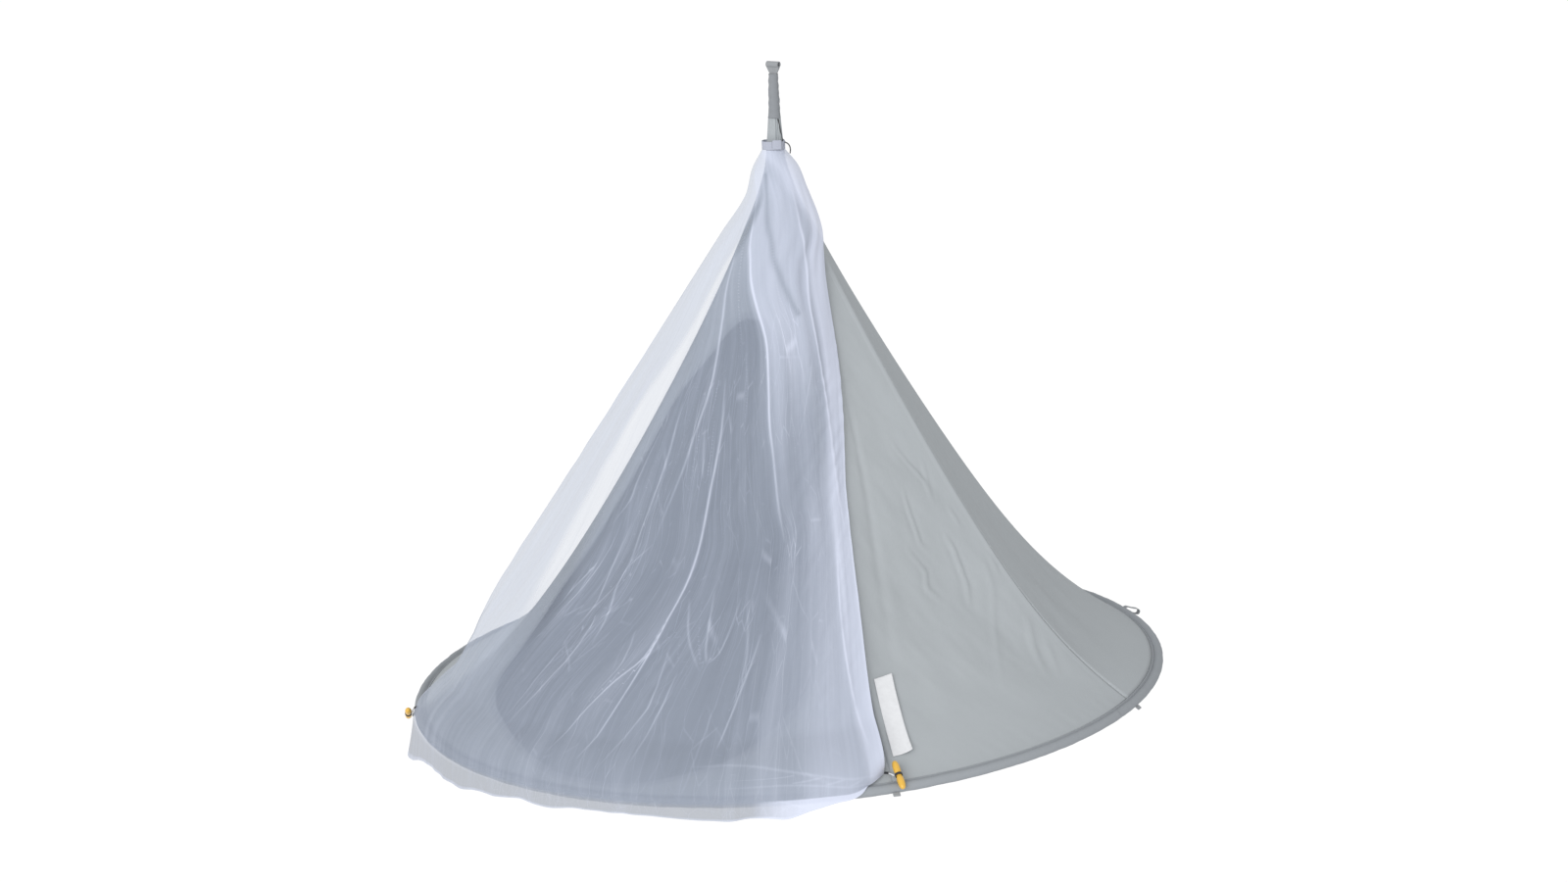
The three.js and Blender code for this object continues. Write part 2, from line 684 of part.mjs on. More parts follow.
function pullGeometry() {
  const touch = COLLAR.outer + GAP + PULL.radius;
  const points = PULL_ROUTE.map(({ azimuth, out, z }) => polar(azimuth, touch + out, z));
  points.forEach((point) => point.add(new THREE.Vector3(0, COLLAR.aside, 0)));
  return cordGeometry(points, PULL.radius, PULL.steps);
}

// Net
function foldRow([across, down]) {
  return new THREE.Vector2(across, down);
}

const FOLD_LINES = NET_FOLDS.map((fold) => {
  const line = new THREE.SplineCurve([fold.top, fold.middle, fold.foot].map(foldRow));
  const samples = line.getPoints(24).map((point) => ({ across: point.x, down: point.y }));
  return { ...fold, samples, from: fold.top[1], to: fold.foot[1] };
});

// How far the folds and the gathers below the collar lift the net at this place.
function foldLift(across, down, spread) {
  let lift = 0;
  for (const fold of FOLD_LINES) {
    const share = clamp((down - fold.from) / (fold.to - fold.from), 0, 1);
    const aside = (across - lookUp(fold.samples, 'down', down, 'across')) * spread;
    const size = fold.height * Math.sin(Math.PI * share) ** FOLD_POWER;
    lift += size * Math.exp(-((aside / fold.width) ** 2));
  }
  const gathered = clamp((down - GATHERS.from) / (GATHERS.to - GATHERS.from), 0, 1);
  const wave = 0.5 - 0.5 * Math.cos(2 * Math.PI * GATHERS.count * across);
  return lift + GATHERS.height * Math.sin(Math.PI * gathered) * wave;
}

// Pushes a point of the net clear of the canopy under it.
function clearOfCanopy(point, clearance) {
  const azimuth = THREE.MathUtils.radToDeg(Math.atan2(point.y, point.x));
  const rim = canopyHeight(azimuth, 0);
  const up = (point.z - rim) / (APEX_RISE - HOOP_DROP - rim);
  if (up < 0) return point;
  const centre = canopyShift(up);
  const outward = new THREE.Vector3(point.x - centre.x, point.y - centre.y, 0);
  const needed = canopyRadius(azimuth, up) + clearance;
  const reach = Math.max(outward.length(), needed);
  outward.setLength(reach);
  return new THREE.Vector3(centre.x + outward.x, centre.y + outward.y, point.z);
}

// Keeps a point of the section clear of the hoop's tube.
function clearOfTube(radius, rise) {
  const reach = Math.hypot(radius - HOOP_RADIUS, rise);
  const grow = Math.max(NET_OVER_TUBE / reach, 1);
  return { radius: HOOP_RADIUS + (radius - HOOP_RADIUS) * grow, rise: rise * grow };
}

function netEnd(across) {
  const touch = {
    radius: HOOP_RADIUS + NET_OVER_TUBE * Math.cos(rad(NET_TOUCH_ANGLE)),
    rise: NET_OVER_TUBE * Math.sin(rad(NET_TOUCH_ANGLE)),
  };
  const left = clamp(1 - across / NET_LEFT_END.reach, 0, 1) ** 2;
  const right = clamp(1 - (1 - across) / NET_RIGHT_END.reach, 0, 1) ** 2;
  const radius = touch.radius + left * (NET_LEFT_END.radius - touch.radius);
  const rise = touch.rise + left * (NET_LEFT_END.rise - touch.rise);
  const end = clearOfTube(lerp(radius, NET_RIGHT_END.radius, right), lerp(rise, NET_RIGHT_END.rise, right));
  return { ...end, right };
}

// The net's skirt: rows over the tube, then rows down to the hem. The right corner is held up.
function skirtAt(across, row) {
  const { wrapRows, hangRows } = NET_GRID;
  const { left, right } = NET_SHAPE[NET_SHAPE.length - 1];
  const end = netEnd(across);
  const held = clamp(NET_RIGHT_END.holding * end.right, 0, 1);
  const wrapped = clamp(row / wrapRows, 0, 1) * (1 - held);
  const hung = clamp((row - wrapRows) / hangRows, 0, 1) * (1 - held);
  const slip = NET_RIGHT_END.slip * held * (row / (wrapRows + hangRows));
  const reach = Math.hypot(end.radius - HOOP_RADIUS, end.rise);
  const turn = Math.atan2(end.rise, end.radius - HOOP_RADIUS) * (1 - wrapped);
  const out = lookUp(HEM, 'along', across, 'out') * hung ** NET.hangPower;
  const drop = lookUp(HEM, 'along', across, 'drop') * hung;
  const radius = HOOP_RADIUS + reach * Math.cos(turn) + out + slip;
  const place = clearOfTube(radius, reach * Math.sin(turn) - drop - slip / 2);
  return atHoop(lerp(left, right, across), place.radius, place.rise);
}

function coneAt(across, down) {
  const left = lookUp(NET_SHAPE, 'down', down, 'left');
  const right = lookUp(NET_SHAPE, 'down', down, 'right');
  const front = lookUp(NET_SHAPE, 'down', down, 'front');
  const side = lookUp(NET_SHAPE, 'down', down, 'side');
  const azimuth = lerp(left, right, across);
  const end = netEnd(across);
  const last = NET_SHAPE[NET_SHAPE.length - 2].down;
  const closing = clamp((down - last) / (1 - last), 0, 1);
  const spread = rad(right - left) * front;
  const plain = lerp(front, side, across ** 3) + foldLift(across, down, spread);
  const radius = lerp(plain, end.radius, closing);
  const foot = hoopLevel(azimuth, HOOP_RADIUS) + end.rise;
  const z = lerp(NET.top, foot, down);
  const point = polar(azimuth, radius, z);
  point.y += COLLAR.aside * clamp(1 - down / NET.underCollar, 0, 1);
  return down === 0 ? point : clearOfCanopy(point, NET.clear);
}

function netMiddle(across, level) {
  const { coneRows, rowPower } = NET_GRID;
  if (level <= coneRows) return coneAt(across, (level / coneRows) ** rowPower);
  return skirtAt(across, level - coneRows);
}

// Columns stand closer towards the right corner, where the hem turns over the tube.
function netColumn(column) {
  const share = clamp(column / NET_GRID.columns, 0, 1);
  return 1 - (1 - share) ** NET_GRID.crowding;
}

function netGeometry() {
  const { columns, coneRows, wrapRows, hangRows } = NET_GRID;
  const rows = coneRows + wrapRows + hangRows;
  return sheet(columns, rows, (across, height, side) => {
    const level = Math.round((1 - height) * rows);
    const column = Math.round(across * columns);
    const point = netMiddle(netColumn(column), level);
    const above = netMiddle(netColumn(column), Math.max(level - 1, 0));
    const below = netMiddle(netColumn(column), Math.min(level + 1, rows));
    const before = netMiddle(netColumn(column - 1), level);
    const after = netMiddle(netColumn(column + 1), level);
    const outward = below.sub(above).cross(after.sub(before));
    if (level === 0) outward.z = 0;
    if (outward.dot(new THREE.Vector3(point.x, point.y, 0)) < 0) outward.negate();
    return point.addScaledVector(outward.normalize(), (side - 0.5) * NET.thickness);
  });
}

// Label: it follows the flat facets of the gore that carries it.
function facetPoint(azimuth, up) {
  const column = (SEAMS[2] - SEAMS[1]) / GORE_COLUMNS;
  const first = SEAMS[1] + column * Math.floor((azimuth - SEAMS[1]) / column);
  let row = 0;
  while (canopyRow(row + 1) < up) row += 1;
  const across = (azimuth - first) / column;
  const height = (up - canopyRow(row)) / (canopyRow(row + 1) - canopyRow(row));
  const lower = canopyPoint(first, canopyRow(row)).lerp(canopyPoint(first + column, canopyRow(row)), across);
  const upper = canopyPoint(first, canopyRow(row + 1));
  upper.lerp(canopyPoint(first + column, canopyRow(row + 1)), across);
  return lower.lerp(upper, height);
}

function labelGeometry() {
  const { thickness, seat, columns, rows } = LABEL;
  return sheet(columns, rows, (across, height, side) => {
    const left = lerp(LABEL_FOOT.left, LABEL_TOP.left, height);
    const right = lerp(LABEL_FOOT.right, LABEL_TOP.right, height);
    const azimuth = lerp(left, right, across);
    const up = lerp(LABEL_FOOT.up, LABEL_TOP.up, height);
    const curl = LABEL_LIFT.curl * (across * (1 - height)) ** LABEL_LIFT.curlPower;
    const lift = LABEL_LIFT.height * across ** LABEL_LIFT.power + curl + seat + thickness * side;
    return facetPoint(azimuth, up).addScaledVector(canopyInward(azimuth, up), -lift);
  });
}

// Toggles
function toggleFrame({ azimuth, radius, rise, slope, turn }) {
  const out = tangent(azimuth - 90).applyAxisAngle(new THREE.Vector3(0, 0, 1), rad(turn));
  const axis = out.multiplyScalar(Math.cos(rad(slope)));
  axis.z = Math.sin(rad(slope));
  const frame = new THREE.Object3D();
  frame.position.copy(atHoop(azimuth, radius, rise));
  frame.quaternion.setFromUnitVectors(new THREE.Vector3(0, 0, 1), axis);
  return frame;
}

function toggleGeometry() {
  const upper = TOGGLE_PROFILE.map(({ share, height }) => [TOGGLE.radius * share, height]);
  const lower = upper.map(([radius, height]) => [radius, -height]);
  return turned([...lower, ...upper.reverse()], TOGGLE.sides);
}

function bandGeometry() {
  const { inner, outer, width, sides } = BAND;
  const half = width / 2;
  return turned([[inner, -half], [outer, -half], [outer, half], [inner, half], [inner, -half]], sides);
}

function addToggle(side, seat) {
  const frame = toggleFrame(seat);
  const toggle = addPiece(`toggle_${side}`, toggleGeometry(), 'amber');
  const band = addPiece(`toggle_band_${side}`, bandGeometry(), 'black');
  [toggle, band].forEach((piece) => {
    piece.position.copy(frame.position);
    piece.quaternion.copy(frame.quaternion);
  });
}

function addTie(side, elastic, lace) {
  const place = ({ azimuth, radius, rise }) => atHoop(azimuth, radius, rise);
  addPiece(`corner_elastic_${side}`, cordGeometry(elastic.map(place), ELASTIC_RADIUS, 3), 'black');
  addPiece(`corner_lace_${side}`, cordGeometry(lace.map(place), LACE_RADIUS, 4), 'white');
}

addPiece('hang_strap', strapGeometry(), 'webbing');
addPiece('strap_sleeve', strapSleeveGeometry(), 'hoop');
addPiece('neck_cord', neckCordGeometry(), 'black');
addPiece('door_panel', doorPanelGeometry(), 'tent');
addPiece('door_binding', bindingGeometry(), 'hoop');
PANELS.slice(1).forEach((panel, i) => addPiece(`gore_${i + 1}`, goreGeometry(panel), 'tent'));
addPiece('floor', floorGeometry(), 'floor');
addPiece('hoop', hoopGeometry(), 'hoop');
addPiece('hoop_loop_free', freeLoopGeometry(), 'webbing');
FLAT_LOOPS.forEach(({ name, azimuth }) => addPiece(name, flatLoopGeometry(azimuth), 'webbing'));
addPiece('net', netGeometry(), 'net');
addPiece('net_collar', collarGeometry(), 'white');
addPiece('collar_tab', tabGeometry(), 'white');
addPiece('collar_pull', pullGeometry(), 'black');
addPiece('bare_label', labelGeometry(), 'white');
addToggle('right', RIGHT_TOGGLE);
addToggle('left', LEFT_TOGGLE);
addTie('right', RIGHT_ELASTIC, RIGHT_LACE);
addTie('left', LEFT_ELASTIC, LEFT_LACE);

export default tent;
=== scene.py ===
"""Looks of a hanging tent with a mosquito net over its door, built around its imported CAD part.

Shapes are worked out in millimetres in the part's frame and are set in metres. An azimuth is in degrees
from +X towards +Y, and the door faces -Y.
"""

import math

import bmesh
import bpy
import numpy as np
from bpy.props import FloatProperty, FloatVectorProperty, PointerProperty
from mathutils import Matrix, Vector


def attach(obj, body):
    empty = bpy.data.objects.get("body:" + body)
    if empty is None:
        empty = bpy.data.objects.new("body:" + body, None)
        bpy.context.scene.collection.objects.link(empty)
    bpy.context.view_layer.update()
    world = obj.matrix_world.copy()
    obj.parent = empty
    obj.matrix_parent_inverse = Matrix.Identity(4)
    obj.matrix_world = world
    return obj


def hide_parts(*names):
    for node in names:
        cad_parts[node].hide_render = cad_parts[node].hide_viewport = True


bl_info = {
    "name": "Hanging tent with mosquito net",
    "version": (1, 0, 0),
    "blender": (4, 5, 0),
    "location": "View3D > Sidebar > Tent",
    "description": "Builds the cloth, net, hoop and fittings of a hanging tent",
    "category": "Object",
}

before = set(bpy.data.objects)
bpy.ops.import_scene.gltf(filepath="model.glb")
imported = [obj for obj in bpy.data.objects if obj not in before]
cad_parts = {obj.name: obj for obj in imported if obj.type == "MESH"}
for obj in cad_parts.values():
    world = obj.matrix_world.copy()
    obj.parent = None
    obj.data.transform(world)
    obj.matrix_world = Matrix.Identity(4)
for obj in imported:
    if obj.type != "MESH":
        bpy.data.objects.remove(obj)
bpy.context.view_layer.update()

MM = 0.001
HOOP_DROP = 1490
TILT = math.tan(math.radians(2.79))
HIGH_SIDE = 34

# Canopy: seams between its panels, and the profile from the hoop up to the neck
SEAMS = [-138, -41.5, 6, 53.5, 95.6, 137.7, 179.8, 222]
RIM_RADIUS = 886.7
RIM_RISE = 9.2
APEX_RISE = 1285
CANOPY_RUN = 1560
CANOPY_TOP = 1.0677
CONE_SHARE = 0.841
CONE_POWER = 1.15
FLARE_LENGTH = 0.11
GORE_HOLLOW = 1.2
DOOR_HOLLOW = 0.35
HOLLOW_LENGTH = 0.11
NECK_RADIUS = 19
NECK_TAPER = 0.08
NECK_LIMIT = 34
LEAN = 10
SEAM_GAP = 0.15

# The door's edge: distance sideways from the panel's middle line, and share of the height
DOOR_EDGE = [
    (0, 0.007), (168, 0.009), (330, 0.035), (393, 0.076), (414, 0.128), (382, 0.211),
    (330, 0.336), (257, 0.483), (185, 0.587), (88, 0.688), (22, 0.714), (-28, 0.701),
    (-81, 0.652), (-165, 0.572), (-225, 0.473), (-329, 0.301), (-392, 0.217), (-448, 0.124),
    (-466, 0.078), (-413, 0.053), (-289, 0.034), (-98, 0.012),
]
DOOR_CENTRE_UP = 0.33
DOOR_MARGIN = 2.2

HOOP_RADIUS = 903
TUBE_RADIUS = 11
FLOOR_RADIUS = 893.85
FLOOR_RISE = -6.6
FLOOR_SAG = 110

# Net: share of the way from the collar to the hoop, azimuths of its two edges, radii at its front and side
NET_SHAPE = [
    (0, -150, 50, 27, 27),
    (0.034, -145, 48, 54, 57),
    (0.078, -139, 45, 73, 74),
    (0.144, -138, 23, 134, 105),
    (0.19, -138, -1, 176, 134),
    (0.24, -138, -11.5, 222, 162),
    (0.328, -138, -17.5, 302, 202),
    (0.472, -138, -28.5, 435, 305),
    (0.6, -138, -35.5, 552, 414),
    (0.771, -138, -39.4, 709, 583),
    (0.922, -138, -42, 848, 774),
    (1, -138, -42.5, 914.2, 914.2),
]
NET_TOP = -202.4
NET_CLEAR = 8.5
NET_OVER_TUBE = 14.3
NET_TOUCH = 35.3
NET_LEFT_END = (0.05, 907, 13.3)
NET_RIGHT_END = (0.065, 870.5, 25.5)
NET_COLLAR_SHARE = 0.078
NET_FLAT = (1.65, 1.62)
NET_DROP = 1400
NET_FLOW_WIDTH = 620
NET_THINNEST = -0.65
NET_CONE_ROWS = 0.84
NET_CROWDING = 1.28
NET_LEFT_HOLLOW = 10
NET_CORNER_HOLLOW = 36
COLLAR_ASIDE = -6.6

# The net's hem: share of the way along it, its drop below the hoop and how far it stands out
HEM = [
    (0, 104, 20), (0.042, 96, 12), (0.1, 68, 8), (0.165, 52, 4), (0.277, 54, 9), (0.32, 46, 3),
    (0.389, 38, 6), (0.425, 31, 2), (0.482, 35, 7), (0.534, 27, 2), (0.634, 26, 5), (0.7, 31, 3),
    (0.764, 35, 8), (0.806, 31, 3), (0.848, 35, 7), (0.89, 22, 4), (0.932, 9, 1), (1, 4, 0),
]

# The net's main folds: three places (across, down), height and width
NET_FOLDS = [
    ((0.6, 0.05), (0.72, 0.2), (0.84, 0.42), 3, 14),
    ((0.62, 0.22), (0.74, 0.44), (0.81, 0.66), 8, 26),
    ((0.5, 0.3), (0.6, 0.62), (0.5, 0.95), 14, 34),
    ((0.45, 0.28), (0.49, 0.56), (0.37, 0.92), 12, 30),
    ((0.36, 0.3), (0.39, 0.56), (0.32, 0.84), 12, 32),
    ((0.62, 0.46), (0.67, 0.66), (0.69, 0.92), 9, 30),
    ((0.74, 0.55), (0.77, 0.76), (0.74, 0.97), 9, 28),
    ((0.2, 0.22), (0.2, 0.55), (0.16, 0.9), 9, 36),
    ((0.08, 0.12), (0.09, 0.45), (0.06, 0.85), 8, 30),
]

# Creases where the net lies double: places along each as (across, down), and how strong it is
NET_CREASES = [
    ([(0.282, 0.1), (0.353, 0.15), (0.442, 0.19), (0.539, 0.25), (0.615, 0.31), (0.66, 0.38), (0.7, 0.45),
      (0.74, 0.51), (0.78, 0.58), (0.81, 0.64)], 1),
    ([(0.222, 0.1), (0.268, 0.15), (0.33, 0.19), (0.392, 0.25), (0.43, 0.3), (0.46, 0.35), (0.48, 0.4), (0.49, 0.46),
      (0.5, 0.53), (0.5, 0.63)], 0.8),
    ([(0.51, 0.37), (0.56, 0.45), (0.59, 0.53), (0.61, 0.61), (0.61, 0.68), (0.59, 0.75), (0.57, 0.82),
      (0.54, 0.91), (0.52, 0.95)], 1),
    ([(0.61, 0.07), (0.651, 0.13), (0.727, 0.17), (0.771, 0.19), (0.804, 0.22), (0.822, 0.28), (0.86, 0.36),
      (0.91, 0.45), (0.96, 0.57), (0.98, 0.64)], 0.9),
    ([(0.51, 0.45), (0.54, 0.5), (0.56, 0.53)], 0.5),
    ([(0.4, 0.41), (0.43, 0.49), (0.45, 0.57), (0.46, 0.62), (0.47, 0.68)], 0.6),
    ([(0.37, 0.45), (0.38, 0.53), (0.39, 0.57), (0.37, 0.61)], 0.4),
    ([(0.59, 0.74), (0.57, 0.8), (0.53, 0.84), (0.5, 0.88), (0.46, 0.95)], 0.8),
    ([(0.64, 0.82), (0.63, 0.88), (0.61, 0.95)], 0.5),
    ([(0.61, 0.78), (0.61, 0.86), (0.6, 0.89), (0.56, 0.96)], 0.5),
    ([(0.53, 0.76), (0.53, 0.81), (0.5, 0.86)], 0.4),
    ([(0.67, 0.7), (0.68, 0.78), (0.69, 0.81)], 0.5),
    ([(0.73, 0.71), (0.71, 0.79), (0.69, 0.81)], 0.5),
    ([(0.62, 0.71), (0.64, 0.77), (0.68, 0.82)], 0.4),
    ([(0.78, 0.77), (0.77, 0.82), (0.75, 0.9), (0.74, 0.93)], 0.6),
    ([(0.74, 0.71), (0.76, 0.79), (0.76, 0.83), (0.75, 0.87)], 0.4),
    ([(0.4, 0.78), (0.37, 0.83), (0.33, 0.92)], 0.4),
    ([(0.44, 0.74), (0.42, 0.8), (0.39, 0.85), (0.34, 0.93)], 0.5),
    ([(0.38, 0.79), (0.41, 0.81), (0.43, 0.83)], 0.3),
    ([(0.42, 0.6), (0.42, 0.69), (0.42, 0.73), (0.39, 0.78)], 0.5),
    ([(0.5, 0.63), (0.46, 0.68), (0.46, 0.74), (0.45, 0.79)], 0.5),
    ([(0.95, 0.67), (0.95, 0.76), (0.96, 0.84), (0.98, 0.95)], 0.5),
    ([(0.99, 0.99), (0.9, 0.97), (0.79, 0.95), (0.7, 0.95)], 0.25),
    ([(0.99, 1), (0.87, 0.98), (0.76, 0.98)], 0.2),
]

# A hollow between two gathers, where the net lies single
NET_VALLEY = [
    (0.34, 0.04), (0.35, 0.07), (0.381, 0.1), (0.431, 0.13), (0.529, 0.17), (0.653, 0.22), (0.755, 0.28),
]

# Crumpled places: (across, down), half width, half length in millimetres, how strong
NET_CRUMPLES = [
    (0.52, 0.56, 45, 150, 0.8), (0.78, 0.68, 60, 130, 1), (0.38, 0.74, 90, 110, 0.9), (0.37, 0.44, 50, 110, 0.5),
    (0.6, 0.35, 60, 160, 0.7), (0.67, 0.52, 60, 120, 0.4), (0.85, 0.78, 60, 110, 0.6), (0.47, 0.68, 70, 120, 0.7),
]

# How far across the net its main gather runs at each share of the way down
NET_GATHER = [
    (0, 0.1), (0.1, 0.282), (0.15, 0.353), (0.19, 0.442), (0.25, 0.539), (0.31, 0.615), (0.38, 0.66),
    (0.45, 0.7), (0.51, 0.74), (0.58, 0.78), (0.64, 0.81), (1, 0.81),
]

# Creases pressed into the front gore: places along each as (azimuth, share of the height), height
GORE_CREASES = [
    ([(-12.6, 0.385), (-13.5, 0.35), (-14.5, 0.3), (-12.8, 0.285)], 2.2),
    ([(-19.5, 0.295), (-16.5, 0.255), (-18.5, 0.23), (-16, 0.207)], 2.4),
    ([(-5.2, 0.298), (-4.8, 0.277), (-6.2, 0.22), (-8.6, 0.187)], 3),
    ([(-8, 0.463), (-2.5, 0.395), (-3.6, 0.362)], 2),
    ([(0.5, 0.425), (-2.5, 0.372)], 1.6),
    ([(0.6, 0.34), (0.8, 0.31)], 1.8),
    ([(1.2, 0.236), (-0.4, 0.2), (-7.5, 0.133), (-14, 0.072)], 1.4),
    ([(2.6, 0.142), (-0.6, 0.107), (-3.4, 0.067)], 2.4),
    ([(2.8, 0.105), (-0.8, 0.062)], 2),
    ([(4.3, 0.252), (3.4, 0.221)], 1.8),
]

COLUMNS_PER_GORE = 40
CANOPY_ROWS = 110
NET_COLUMNS = 330
NET_ROWS = 210


# Shapes


def polar(azimuth, radius, z):
    angle = np.radians(azimuth)
    return np.stack(np.broadcast_arrays(radius * np.cos(angle), radius * np.sin(angle), z), -1)


def unit(vectors):
    return vectors / np.maximum(np.linalg.norm(vectors, axis=-1, keepdims=True), 1e-9)


def hoop_level(azimuth, radius):
    """Height of the hoop's tilted plane."""
    return TILT * radius * np.cos(np.radians(azimuth - HIGH_SIDE)) - HOOP_DROP


def at_hoop(azimuth, radius, rise):
    return polar(azimuth, radius, hoop_level(azimuth, radius) + rise)


def smooth_table(x, rows, column):
    """A column of a table at x, by its first column, on a smooth curve that doesn't overshoot."""
    xs = np.array([row[0] for row in rows], float)
    ys = np.array([row[column] for row in rows], float)
    steps = np.diff(xs)
    slopes = np.diff(ys) / steps
    before, after = slopes[:-1], slopes[1:]
    inner = np.where(before * after > 0, 2 * before * after / (before + after + 1e-12), 0)
    tangents = np.concatenate([slopes[:1], inner, slopes[-1:]])
    x = np.clip(x, xs[0], xs[-1])
    k = np.clip(np.searchsorted(xs, x) - 1, 0, len(xs) - 2)
    t = (x - xs[k]) / steps[k]
    h = steps[k]
    return (
        (2 * t**3 - 3 * t**2 + 1) * ys[k]
        + (t**3 - 2 * t**2 + t) * h * tangents[k]
        + (3 * t**2 - 2 * t**3) * ys[k + 1]
        + (t**3 - t**2) * h * tangents[k + 1]
    )


def step_up(x, low, high):
    t = np.clip((x - low) / (high - low), 0, 1)
    return t * t * (3 - 2 * t)


def ripple(x, y, wavelength, seed, waves=9):
    """Soft uneven waves between about -1 and 1, the same each run."""
    draw = np.random.default_rng(seed)
    total = np.zeros(np.broadcast(x, y).shape)
    for _ in range(waves):
        turn = draw.uniform(0, 2 * math.pi)
        size = wavelength * draw.uniform(0.7, 1.6)
        phase = draw.uniform(0, 2 * math.pi)
        total += np.sin(2 * math.pi * (x * math.cos(turn) + y * math.sin(turn)) / size + phase)
    return total / math.sqrt(waves)


def path_distance(x, y, path):
    """Distance of each point from a path of straight stretches, with its side as the sign, and the share along."""
    best = np.full(np.shape(x), 1e9)
    share = np.zeros(np.shape(x))
    side = np.ones(np.shape(x))
    count = len(path) - 1
    for i, ((ax, ay), (bx, by)) in enumerate(zip(path, path[1:])):
        dx, dy = bx - ax, by - ay
        t = np.clip(((x - ax) * dx + (y - ay) * dy) / (dx * dx + dy * dy + 1e-12), 0, 1)
        distance = np.hypot(x - ax - t * dx, y - ay - t * dy)
        nearer = distance < best
        best = np.where(nearer, distance, best)
        share = np.where(nearer, (i + t) / count, share)
        side = np.where(nearer, np.sign((y - ay) * dx - (x - ax) * dy), side)
    return best * side, share


def panel_of(azimuth):
    """The panel's first and last seam and its hollow for each azimuth."""
    azimuth = np.where(azimuth < SEAMS[0] - 1e-6, azimuth + 360, azimuth)
    seams = np.array(SEAMS, float)
    k = np.clip(np.searchsorted(seams, azimuth, side="left") - 1, 0, len(seams) - 2)
    return azimuth, seams[k], seams[k + 1], np.where(k == 0, DOOR_HOLLOW, GORE_HOLLOW)


def canopy_radius(azimuth, up):
    inside = np.clip(up, 0, 1)
    flare = (1 - CONE_SHARE) * np.exp(-inside / FLARE_LENGTH)
    cone = RIM_RADIUS * (CONE_SHARE * (1 - inside) ** CONE_POWER + flare)
    neck = np.minimum(NECK_RADIUS + NECK_TAPER * APEX_RISE * (1 - up), NECK_LIMIT)
    azimuth, start, end, hollow = panel_of(azimuth)
    half = np.radians((end - start) / 2)
    aside = np.radians(azimuth - (start + end) / 2)
    taut = hollow * (1 - np.exp(-inside / HOLLOW_LENGTH))
    return np.hypot(cone * (1 - taut * (1 - np.cos(half) / np.cos(aside))), neck * inside)


def canopy_point(azimuth, up):
    inside = np.clip(up, 0, 1)
    rim = RIM_RISE + hoop_level(azimuth, RIM_RADIUS) + HOOP_DROP
    height = np.maximum(1 - up, 0) * rim + up * APEX_RISE - HOOP_DROP
    lean = polar(HIGH_SIDE, LEAN * 4 * inside * (1 - inside), np.zeros(np.shape(inside)))
    return polar(azimuth, canopy_radius(azimuth, up), height) + lean


def canopy_outward(azimuth, up):
    step = 0.002
    run = canopy_point(azimuth, up + step) - canopy_point(azimuth, np.maximum(up - step, 0))
    side = polar(np.asarray(azimuth) + 90, 1, 0)
    return -unit(np.cross(run, side))


def canopy_relief(azimuth, up, edge):
    """How far the cloth stands off its plain shape: seam folds, puckers, creases and soft waves."""
    along = up * CANOPY_RUN
    around = np.radians(azimuth) * canopy_radius(azimuth, up)
    free = step_up(up, 0.004, 0.1) * step_up(edge, 4, 60)
    soft = 2.4 * ripple(around, along * 0.45, 210, 11) + 1.0 * ripple(around, along * 0.55, 90, 12)
    fine = 0.35 * ripple(around, along * 0.5, 34, 13, 14)
    rim = 0.55 * ripple(around, along * 0.2, 24, 14) * np.exp(-along / 26) * step_up(up, 0.0005, 0.006)
    gathered = 1.2 * np.sin(np.radians(azimuth) * 21 + 1.5 * np.sin(along / 60)) * step_up(up, 0.86, 0.98)
    puckers = np.abs(ripple(around * 0.35, along, 46, 15)) * np.exp(-((edge - 22) / 16) ** 2) * 1.1
    fold = 0.8 * step_up(edge, 0.4, 1.4) * (1 - step_up(edge, 9, 10.5))
    return free * (soft + fine + puckers) + rim + gathered + fold


def gore_creases(azimuth, up):
    """Creases pressed into the front gore, as sharp low ridges with a hollow beside them."""
    reach = RIM_RADIUS * math.radians(1) * 0.72
    x, y = azimuth * reach, up * CANOPY_RUN
    total = np.zeros(np.shape(x))
    for path, height in GORE_CREASES:
        distance, share = path_distance(x, y, [(a * reach, b * CANOPY_RUN) for a, b in path])
        distance = np.abs(distance)
        fade = np.sin(math.pi * np.clip(share, 0.03, 0.97)) ** 0.5
        ridge, hollow = np.exp(-((distance / 5.5) ** 2)), np.exp(-(((distance - 14) / 9) ** 2))
        total += height * fade * (ridge - 0.45 * hollow)
    band = np.exp(-(((x - (-37.4 + (up - 0.129) * 27) * reach - 26) / 17) ** 2))
    return total - 3 * band * step_up(up, 0.1, 0.2) * (1 - step_up(up, 0.55, 0.7))


# Net


def fold_path(fold):
    """Points of a net fold's smooth line as (across, down)."""
    (ax, ay), (bx, by), (cx, cy) = fold[:3]
    t = np.linspace(0, 1, 25)
    mid_x, mid_y = 2 * bx - (ax + cx) / 2, 2 * by - (ay + cy) / 2
    x = (1 - t) ** 2 * ax + 2 * t * (1 - t) * mid_x + t**2 * cx
    y = (1 - t) ** 2 * ay + 2 * t * (1 - t) * mid_y + t**2 * cy
    return np.stack([x, y], -1)


def fold_lift(across, down, spread):
    lift = np.zeros(np.shape(across))
    for fold in NET_FOLDS:
        line = fold_path(fold)
        start, end = fold[0][1], fold[2][1]
        share = np.clip((down - start) / (end - start), 0, 1)
        aside = (across - np.interp(down, line[:, 1], line[:, 0])) * spread
        lift += fold[3] * np.sin(math.pi * share) ** 0.7 * np.exp(-((aside / fold[4]) ** 2))
    gathered = np.clip((down - 0.02) / 0.3, 0, 1)
    wave = 0.5 - 0.5 * np.cos(2 * math.pi * 9 * across)
    return lift + 2.2 * np.sin(math.pi * gathered) * wave


